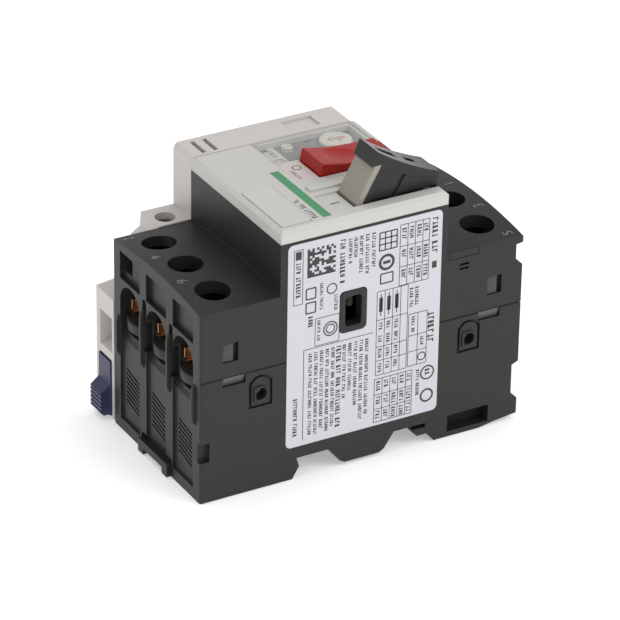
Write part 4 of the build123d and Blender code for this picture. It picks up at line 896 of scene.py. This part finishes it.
# ------------------------------------------------------------------ sub-assemblies
@dataclass
class Housing:
    """Base and upper housing with their moulded marks, clips and tabs."""

    numeral_height: float = 2.7
    numeral_offset: Pair = (5.0, 6.4)
    hole_inset: float = 8.0
    pole_pitch: float = 13.7
    crown: float = 1.8
    bezel_size: Pair = (7.4, 11.2)
    bezel_hole: Pair = (4.5, 8.1)
    bezel_height: float = 0.35
    socket: Pair = (-3.2, 42.6)
    shoulder_edge: float = 51.0
    tabs: Pair = (-36.4, 36.6)
    tab_foot: float = 37.2
    tab_height: float = 4.2
    lips: tuple[tuple[float, float, float], ...] = ((29.4, 2.7, 0.0), (26.9, 1.1, 0.7))
    lip_reach: float = 4.9
    lip_bulge: float = 1.6
    contact_floor: float = 32.2
    fin: float = 0.9
    fin_tops: Pair = (39.2, 31.6)
    fin_feet: Pair = (22.2, 19.6)
    outer_fins: Pair = (-20.0, 19.1)
    seam: Pair = (32.82, 33.14)
    seam_gap: Pair = (-21.4, 21.3)
    rivets: tuple[Pair, ...] = ((-28.2, 26.3), (29.7, 26.4))
    rim_radius: float = 2.1
    rim_width: float = 0.6

    def build(self) -> None:
        """Builds and dresses everything."""
        dress(HOUSING, "base_housing", "upper_housing", "shoulder_strip")
        dress(CLIP, "snap_clips")
        self._numerals()
        self._bezel()
        self._tabs()
        self._sills()
        self._fins()
        self._seam()
        self._rivet_rims()

    def _shoulder(self, y: float) -> float:
        """Height of the arched shoulder at a place across the width."""
        _, high = span("upper_housing")
        return self.shoulder_edge + self.crown * (1 - (y / high.y) ** 2)

    def _numerals(self) -> None:
        """Pole numbers beside the screwdriver holes, coloured much lighter than the housing as a
        painted highlight on the raised figures.
        """
        low, high = span("upper_housing")
        ahead, aside = self.numeral_offset
        for index, lane in enumerate((self.pole_pitch, 0.0, -self.pole_pitch)):
            for end, inward, first in ((low.x, 1, 2), (high.x, -1, 1)):
                number = first + 2 * index
                y = lane + aside * inward
                x = end + inward * (self.hole_inset - ahead)
                slope = -2 * self.crown * y / high.y**2
                numeral(
                    f"pole_number_{number}", str(number), self.numeral_height,
                    (x, y, self._shoulder(y) + 0.02), (0, -inward, -inward * slope),
                    (inward, 0, 0), NUMERAL_HIGHLIGHT, 0.12,
                )

    def _bezel(self) -> None:
        """Raised frame round the accessory socket, on both sides of the label's cut-out."""
        low, _ = span("upper_housing")
        shape = Shape("socket_bezel")
        outer, inner = (
            [(x, low.y, z) for x, z in rounded(self.socket, size, radius)]
            for size, radius in ((self.bezel_size, 1.5), (self.bezel_hole, 1.0))
        )
        shape.band(outer, inner, (0, -self.bezel_height, 0))
        shape.soften(0.12)
        shape.settle(HOUSING, slot="dark_housing")

    def _tabs(self) -> None:
        """Snap tabs inside the side windows."""
        low, _ = span("upper_housing")
        shape = Shape("snap_tabs")
        back, front = low.y + 1.35, low.y + 0.35
        foot = self.tab_foot
        for x in self.tabs:
            left, right = x - 1.9, x + 0.9
            outline = [
                (left, back, foot), (right, back, foot),
                (right, front, foot + 0.4), (left, front, foot + 0.4),
            ]
            shape.plate(outline, (0, 0, self.tab_height))
            shape.slab((left, low.y + 0.3, foot - 0.1), (right, back, foot + 0.8))
        shape.soften(0.1)
        shape.settle(TAB, slot="clip_grey")

    def _sills(self) -> None:
        """Bulging lips at the foot of the wire entries, and bright contact faces behind."""
        low, high = span("base_housing")
        lips = Shape("entry_lips")
        faces = Shape("entry_contacts")
        for end, inward in ((low.x, 1), (high.x, -1)):
            for lane in (-self.pole_pitch, 0.0, self.pole_pitch):
                for bottom, thickness, inset in self.lips:
                    front = [
                        (
                            end + inward
                            * (inset + 1.7 - self.lip_bulge * math.cos(math.pi * i / 12)),
                            lane + self.lip_reach * i / 6, bottom,
                        )
                        for i in range(-6, 7)
                    ]
                    back = [
                        (end + inward * 4.2, lane + side, bottom)
                        for side in (self.lip_reach, -self.lip_reach)
                    ]
                    lips.plate(front + back, (0, 0, thickness))
                near_x, far_x = sorted((end + inward * 2.9, end + inward * 5.3))
                floor = self.contact_floor
                faces.slab((near_x, lane + 4.5, floor), (far_x, lane + 5.0, floor + 3.4))
                faces.slab((near_x, lane + 3.7, floor), (far_x, lane + 4.5, floor + 0.4))
        lips.soften(0.35, 3)
        lips.settle(HOUSING, slot="dark_housing")
        faces.soften(0.08, 1)
        faces.settle(COPPER, slot="conductor")

    def _fins(self) -> None:
        """Thin barrier fins between the wire entries, rounded at the top."""
        low, high = span("base_housing")
        shape = Shape("barrier_fins")
        inner = [side * self.pole_pitch / 2 - self.fin / 2 for side in (-1, 1)]
        for end, inward in ((low.x, 1), (high.x, -1)):
            for index, rib in enumerate((*inner, *self.outer_fins)):
                top = self.fin_tops[index // 2]
                foot_z = self.fin_feet[index // 2]
                nose = [
                    (end - inward * (0.2 + 0.75 * math.sin(math.pi * i / 10)), rib,
                     top - 0.9 + 0.9 * math.cos(math.pi * i / 10) - (3.2 * i / 10))
                    for i in range(6)
                ]
                foot = [
                    (end - inward * 0.95, rib, foot_z + 2.4),
                    (end + inward * 0.4, rib, foot_z),
                    (end + inward * 2.0, rib, foot_z),
                    (end + inward * 2.0, rib, top),
                ]
                shape.plate(nose + foot, (0, self.fin, 0))
        shape.soften(0.18)
        shape.settle(HOUSING, slot="dark_housing")

    def _seam(self) -> None:
        """Near-black band along the seam between the upper and the base housing: a painted
        shadow for the groove's shade.
        """
        low, high = span("base_housing")
        shape = Shape("seam_painted_shadow")
        bottom, top = self.seam
        for start, stop in ((low.x + 0.5, self.seam_gap[0]), (self.seam_gap[1], high.x - 0.5)):
            shape.slab((start, low.y - 0.015, bottom), (stop, low.y + 0.1, top))
        shape.settle(SEAM_SHADE)

    def _rivet_rims(self) -> None:
        """Raised D-shaped rims on the near side's two pockets."""
        low, _ = span("base_housing")
        face = low.y + 0.05
        arc = [math.radians(-90 + 15 * step) for step in range(13)]
        shape = Shape("rivet_rims")
        for x, z in self.rivets:
            loops = []
            for inset in (0.0, self.rim_width):
                radius = self.rim_radius - inset
                left = x - 1.9 + inset
                nose = [
                    (x + 0.1 + radius * math.cos(a), face, z + radius * math.sin(a)) for a in arc
                ]
                loops.append(nose + [(left, face, z + radius), (left, face, z - radius)])
            shape.band(loops[0], loops[1], (0, -0.4, 0))
        shape.soften(0.14)
        shape.settle(HOUSING, slot="dark_housing")


@dataclass
class RatingLabel:
    """The label on the near side, with meaningless print in place of its text.

    Places on it are in millimetres across and down from its upper left corner.
    """

    proud: float = 0.03
    fuse_columns: tuple[float, ...] = (25.7, 27.9, 30.1)
    note_pitch: float = 1.56
    note_ends: tuple[float, ...] = (
        52.6, 53.0, 52.2, 52.8, 53.0, 52.6, 45.0, 44.2, 47.8, 52.4, 51.0,
    )
    bold_note: int = 5

    def build(self) -> None:
        """Builds and dresses everything."""
        dress(LABEL, "rating_label")
        low, high = span("rating_label")
        sheet = Print(
            Shape("label_print"), Vector((low.x, low.y, high.z)), Vector((1, 0, 0)),
            Vector((0, 0, -1)), Vector((0, -1, 0)), self.proud,
        )
        self._upper(sheet)
        self._tables(sheet)
        self._lower(sheet)
        sheet.shape.settle(BLACK_INK)

    def _upper(self, sheet: Print) -> None:
        """Matrix square, framed strip and note lines left of the socket.

        Args:
            sheet: the label's print.
        """
        sheet.matrix(5.2, 2.0, 12, 0.64)
        for line in (
            (2.8, 5.0, 15.6, 1.2), (14.8, 1.6, 13.2, 1.35), (16.9, 1.8, 9.0, 0.95),
            (18.4, 1.8, 7.6, 0.95), (19.9, 1.8, 11.6, 0.95), (21.6, 1.8, 12.6, 0.95),
            (23.3, 1.8, 12.0, 0.95), (9.2, 11.8, 19.4, 0.8), (13.2, 15.8, 20.2, 0.9),
            (6.3, 20.2, 23.2, 1.2), (8.6, 21.8, 28.0, 0.8),
        ):
            sheet.line(*line)
        for rules in (
            ((1.6, 4.0), (1.6, 16.2)), ((7.6, 14.2), (21.2, 28.6)),
            ((24.9, 26.5, 28.1, 29.7), (2.4, 4.0, 5.6, 7.2), 0.32),
            ((25.4, 28.8), (13.6, 16.2), 0.35), ((5.0, 7.6), (12.6, 15.4), 0.35),
            ((5.0, 7.6), (16.4, 19.2), 0.35),
        ):
            sheet.grid(*rules)
        for ring in (
            (27.0, 10.6, 2.2, 0.7), (12.0, 14.0, 1.45), (11.8, 24.8, 2.0, 0.32),
            (11.8, 24.8, 1.3),
        ):
            sheet.ring(*ring)
        for block in ((2.0, 3.6, 2.0, 4.2), (26.0, 28.0, 10.2, 11.0)):
            sheet.block(*block)

    def _tables(self, sheet: Print) -> None:
        """Ruled tables, right of the socket.

        Args:
            sheet: the label's print.
        """
        sheet.cells((31.7, 33.8, 35.9, 37.8), (2.6, 8.4, 13.8), 3.4, 1.15)
        sheet.line(40.3, 1.8, 12.8, 1.5)
        sheet.line(39.9, 27.4, 36.0, 1.7)
        sheet.cells(self.fuse_columns, (26.8, 30.2, 34.0, 38.0), 2.4, 0.95)
        for line in (
            (34.2, 19.4, 25.0, 0.95), (35.7, 19.4, 25.0, 0.95), (34.9, 27.4, 31.8, 0.9),
            (37.5, 33.4, 36.4, 0.9),
        ):
            sheet.line(*line)
        sheet.cells((25.5, 27.7, 29.9, 32.1, 34.1), (42.9, 47.2, 51.2), 2.8, 1.1)
        sheet.line(39.3, 43.0, 45.2, 1.3)
        sheet.line(36.6, 42.6, 50.4, 0.9)
        for rules in (
            ((30.6, 32.7, 34.8, 36.9, 38.7), (1.6, 7.4, 12.9, 18.0)),
            ((24.6, 26.8, 29.0, 31.2, 33.2), (18.2, 26.0, 33.4, 37.2, 41.2)),
            ((33.6, 36.2, 38.8), (26.6, 32.6, 37.0, 41.0)),
            ((24.4, 26.6, 28.8, 31.0, 33.2, 35.0), (42.2, 46.6, 50.6, 54.2)),
        ):
            sheet.grid(*rules)
        for ring in ((37.5, 39.0, 1.2), (39.3, 44.0, 2.0, 0.4), (39.3, 50.4, 1.9, 0.5)):
            sheet.ring(*ring)
        sheet.block(39.7, 41.0, 13.6, 15.4)
        for u in self.fuse_columns:
            sheet.block(u - 0.5, u + 0.5, 20.0, 23.8)
            sheet.block(u - 0.12, u + 0.12, 19.0, 25.0)

    def _lower(self, sheet: Print) -> None:
        """Framed note block under the socket.

        Args:
            sheet: the label's print.
        """
        sheet.block(4.6, 23.6, 28.9, 29.06)
        sheet.block(4.5, 4.66, 28.9, 53.8)
        sheet.line(2.4, 41.8, 53.0, 1.1)
        for index, stop in enumerate(self.note_ends):
            height = 1.25 if index == self.bold_note else 0.9
            sheet.line(6.4 + index * self.note_pitch, 30.2, stop, height)


@dataclass
class FrontPanel:
    """Cover, marker tag, printed legends, dial panel, flap and test button."""

    stripe: tuple[float, float, float, float] = (-10.5, -8.2, -20.2, 6.0)
    button_bore: float = 1.5
    face: float = 68.2
    panel: float = 66.3
    dial_face: float = 67.06
    ring_radius: float = 4.75
    tick_radius: float = 5.15
    tick_size: tuple[float, float, float] = (0.8, 0.18, 0.04)

    def build(self) -> None:
        """Builds and dresses everything."""
        dress(COVER, "front_cover")
        dress(TAG, "marker_tag")
        dress(IVORY, "setting_dial", "test_button")
        dress(CLEAR, "clear_flap")
        self._legends()
        self._dial()

    def _sheet(self, name: str, z: float) -> Print:
        """Starts a print sheet on a plane that faces the operator.

        Args:
            name: the piece's name.
            z: height of the plane.

        Returns:
            The sheet.
        """
        return Print(
            Shape(name), Vector((0, 0, z)), Vector((1, 0, 0)), Vector((0, 1, 0)),
            Vector((0, 0, 1)), 0.03,
        )

    def _legends(self) -> None:
        """Green stripe, pale legend plate and plain start and stop symbols."""
        stripe = self._sheet("green_stripe", self.face)
        stripe.block(*self.stripe)
        stripe.shape.settle(GREEN_INK)
        legend = self._sheet("stop_legend", self.face)
        legend.block(-6.9, -1.6, -1.0, 8.0)
        legend.shape.settle(PINK_INK)
        marks = self._sheet("front_marks", self.face + 0.02)
        marks.line(-12.2, -19.6, -9.6, 1.25)
        marks.ring(-3.4, 5.4, 1.25, 0.34)
        marks.line(-5.4, -0.2, 5.2, 0.95)
        marks.shape.settle(GREY_INK)
        start = self._sheet("start_mark", self.face - 0.5)
        start.block(-5.3, -2.8, -14.5, -14.1)
        start.shape.settle(BLACK_INK)

    def _dial(self) -> None:
        """Dial panel with its scale ring, marks and ticks, and the dial's pointer."""
        low, high = span("setting_dial")
        x, y = (low.x + high.x) / 2, (low.y + high.y) / 2
        plate = self._sheet("dial_plate", self.panel)
        low, high = span("test_button")
        plate.pierced(
            (-1.4, 19.9, 10.2, 21.1), (low.x + high.x) / 2, (low.y + high.y) / 2,
            self.button_bore,
        )
        plate.block(-5.8, -5.3, 10.2, 21.1)
        plate.shape.settle(PANEL)
        printed = self.panel + 0.03
        scale = self._sheet("dial_scale", printed)
        scale.ring(x, y, self.ring_radius, 0.2)
        for left, right in ((17.6, 19.7), (7.2, 8.6), (-5.2, -3.4)):
            scale.block(left, right, 19.6, 20.9)
        scale.block(5.2, 6.8, 11.2, 13.4)
        scale.line(3.9, 11.0, 20.4, 0.9)
        scale.line(-3.2, 16.2, 20.8, 1.1)
        scale.shape.settle(BLACK_INK)
        ticks = Shape("dial_ticks")
        for index in range(9):
            angle = math.radians(-120 + 30 * index)
            centre = Vector((
                x - self.tick_radius * math.cos(angle), y - self.tick_radius * math.sin(angle),
                printed + 0.02,
            ))
            if not (10.6 < centre.y < 21.0 and centre.x < 19.6):
                continue
            half = Vector(self.tick_size) / 2
            verts = ticks.slab(-half, half)
            spin = Matrix.Rotation(angle, 3, "Z")
            bmesh.ops.rotate(ticks.mesh, cent=(0, 0, 0), matrix=spin, verts=verts)
            bmesh.ops.translate(ticks.mesh, vec=centre, verts=verts)
        ticks.settle(BLACK_INK)
        pointer = Shape("dial_pointer")
        for outline in (
            ((-2.6, 0.3), (-1.2, -0.6), (-1.2, 1.2)),
            ((0.9, -0.5), (2.5, -0.5), (2.5, 0.4), (0.9, 0.4)),
        ):
            pointer.plate([(x + u, y + v, self.dial_face) for u, v in outline], (0, 0, 0.04))
        pointer.settle(ORANGE_INK, "dial_body")


@dataclass
class Rockers:
    """Start and stop rockers with the grey padlock slide."""

    def build(self) -> None:
        """Dresses everything."""
        dress(START, "start_rocker")
        dress(SLIDE, "padlock_slide")
        dress(STOP, "stop_rocker")
        dress(STEEL, "rocker_pin")


@dataclass
class Terminals:
    """Clamps, screws and the current path."""

    def build(self) -> None:
        """Dresses everything."""
        dress(ZINC, "load_clamps", "line_clamps", "aux_clamps")
        dress(STEEL, "load_screws", "line_screws", "aux_screws")
        dress(
            COPPER, "line_conductors", "load_fixed_contacts", "load_straps",
            "contact_bridges", "aux_fixed_contacts", "aux_bridge",
        )


@dataclass
class Mechanism:
    """Trip units, arc chutes, carriers and springs."""

    def build(self) -> None:
        """Dresses everything."""
        dress(WINDING, "magnet_coils", "heater_windings")
        dress(
            STEEL, "magnet_yokes", "plunger_1", "plunger_2", "plunger_3", "bimetals",
            "deion_plates_load", "deion_plates_line",
        )
        dress(
            INNER, "chute_cheeks", "mechanism_plate", "contact_carrier", "trip_bar",
            "aux_carrier",
        )
        dress(
            SPRING, "start_spring", "stop_spring", "test_spring", "latch_spring", "aux_spring",
            "bridge_springs",
        )


@dataclass
class AuxBlock:
    """Side auxiliary contact block and the two rail latches."""

    frame_centre: Pair = (0.0, 29.5)
    frame_size: Pair = (46.0, 24.0)
    frame_height: float = 0.35
    studs: tuple[Pair, ...] = (
        (-36.0, 8.0), (36.0, 8.0), (-15.0, 58.0), (15.0, 58.0),
    )
    stud_radii: Pair = (1.7, 0.8)

    def build(self) -> None:
        """Builds and dresses everything."""
        dress(AUX, "aux_housing", "aux_cover")
        dress(LATCH_BLUE, "aux_latch")
        dress(HOUSING, "rail_latch")
        self._outer_face()
        self._marks()

    def _outer_face(self) -> None:
        """Raised frame and snap studs on the far side."""
        _, high = span("aux_cover")
        face = high.y - 0.05
        shape = Shape("aux_frame")
        loops = []
        for shrink, radius in ((0.0, 2.4), (1.6, 1.7)):
            size = (self.frame_size[0] - shrink, self.frame_size[1] - shrink)
            loops.append([(x, face, z) for x, z in rounded(self.frame_centre, size, radius)])
        shape.band(loops[0], loops[1], (0, self.frame_height, 0))
        wide, narrow = self.stud_radii
        for x, z in self.studs:
            shape.drum((x, face + 0.2, z), wide, 0.4, Axis.Y, 32)
            shape.drum((x, face + 0.3, z), narrow, 0.6, Axis.Y, 24)
        shape.soften(0.12)
        shape.settle(AUX, slot="aux_white")

    def _marks(self) -> None:
        """Terminal numbers and meaningless print lines inside the frame."""
        _, high = span("aux_cover")
        for text, x in (("13", -37.0), ("14", 37.0)):
            numeral(
                "aux_number_" + text, text, 2.4, (x, high.y + 0.02, 29.5), (-1, 0, 0),
                (0, 0, 1), GREY_INK, 0.06,
            )
        sheet = Print(
            Shape("aux_print"), Vector((21.5, high.y, 39.5)), Vector((-1, 0, 0)),
            Vector((0, 0, -1)), Vector((0, 1, 0)), 0.03,
        )
        for u in (3.0, 5.2, 7.4):
            sheet.line(u, 2.0, 17.0, 1.1)
        sheet.grid((12.0, 18.0, 24.0), (3.0, 8.0, 13.0, 18.0))
        sheet.block(29.0, 36.0, 9.9, 10.2)
        sheet.block(32.2, 32.5, 4.0, 16.0)
        sheet.ring(32.35, 4.0, 0.9, 0.25)
        sheet.ring(32.35, 16.0, 0.9, 0.25)
        sheet.shape.settle(GREY_INK)


@dataclass
class Studio:
    """Floor, soft lights and the camera."""

    camera_place: Point = (-0.43924, -0.76090, 0.50815)
    azimuth: float = -29.878
    elevation: float = 28.511
    roll: float = 0.976
    lens: float = 237.1
    surround: float = 0.72
    lamps: tuple[tuple[str, Point, float, float], ...] = (
        ("key", (0.45, -0.85, 0.85), 0.7, 4.2),
        ("top", (-0.1, 0.2, 1.2), 0.8, 1.6),
    )
    floor_half: float = 3.0

    def build(self) -> None:
        """Builds everything."""
        self._floor()
        self._lights()
        self._camera()

    def _floor(self) -> None:
        """A wide pale floor under the feet."""
        low, _ = CAD_BOX
        shape = bmesh.new()
        bmesh.ops.create_grid(shape, x_segments=8, y_segments=8, size=self.floor_half)
        bmesh.ops.translate(shape, vec=(0, 0, low.z - 0.0002), verts=shape.verts)
        data = bpy.data.meshes.new("floor")
        shape.to_mesh(data)
        shape.free()
        data.materials.append(self._pale())
        floor = bpy.data.objects.new("floor", data)
        bpy.context.scene.collection.objects.link(floor)

    def _pale(self) -> bpy.types.Material:
        """Builds the floor's matte white.

        Returns:
            The material.
        """
        made = bpy.data.materials.new("pale_floor")
        w = Wiring(made)
        shade = w.noise(3.0)
        w.surface({
            "Base Color": w.mix(shade, (0.93, 0.93, 0.93, 1), (0.95, 0.95, 0.95, 1)),
            "Roughness": 0.9,
            "Specular IOR Level": 0.1,
            "Emission Color": (1.0, 1.0, 1.0, 1.0),
            "Emission Strength": 0.35,
        })
        return made

    def _lights(self) -> None:
        """A pale surround and large soft lamps."""
        scene = bpy.context.scene
        world = bpy.data.worlds.new("surround")
        world.use_nodes = True
        background = world.node_tree.nodes["Background"]
        background.inputs["Color"].default_value = (1.0, 1.0, 1.0, 1.0)
        background.inputs["Strength"].default_value = self.surround
        scene.world = world
        scene.view_settings.view_transform = "Standard"
        low, high = CAD_BOX
        target = (low + high) / 2
        for name, place, size, power in self.lamps:
            lamp = bpy.data.lights.new(name, "AREA")
            lamp.size = size
            lamp.energy = power
            holder = bpy.data.objects.new(name, lamp)
            holder.location = place
            holder.rotation_euler = (target - Vector(place)).to_track_quat("-Z", "Y").to_euler()
            scene.collection.objects.link(holder)

    def _camera(self) -> None:
        """The camera, with its small roll."""
        data = bpy.data.cameras.new("camera")
        data.lens = self.lens
        data.sensor_width = 36.0
        data.clip_start = 0.05
        data.clip_end = 20.0
        camera = bpy.data.objects.new("camera", data)
        bpy.context.scene.collection.objects.link(camera)
        a, e, r = (math.radians(v) for v in (self.azimuth, self.elevation, self.roll))
        back = Vector((math.sin(a) * math.cos(e), -math.cos(a) * math.cos(e), math.sin(e)))
        right = (-back).cross(Vector((0, 0, 1))).normalized()
        up = right.cross(-back)
        tilted = right * math.cos(r) + up * math.sin(r)
        upright = up * math.cos(r) - right * math.sin(r)
        turn = Matrix((tilted, upright, back)).transposed()
        camera.matrix_world = Matrix.Translation(Vector(self.camera_place)) @ turn.to_4x4()
        bpy.context.scene.camera = camera


def main() -> None:
    """Builds the studio and every sub-assembly in order."""
    logging.basicConfig(level=logging.INFO, format="%(name)s: %(message)s")
    for assembly in (
        Studio(), Housing(), RatingLabel(), FrontPanel(), Rockers(), Terminals(), Mechanism(),
        AuxBlock(),
    ):
        log.info("building %s", type(assembly).__name__)
        assembly.build()


if __name__ == "__main__":
    main()
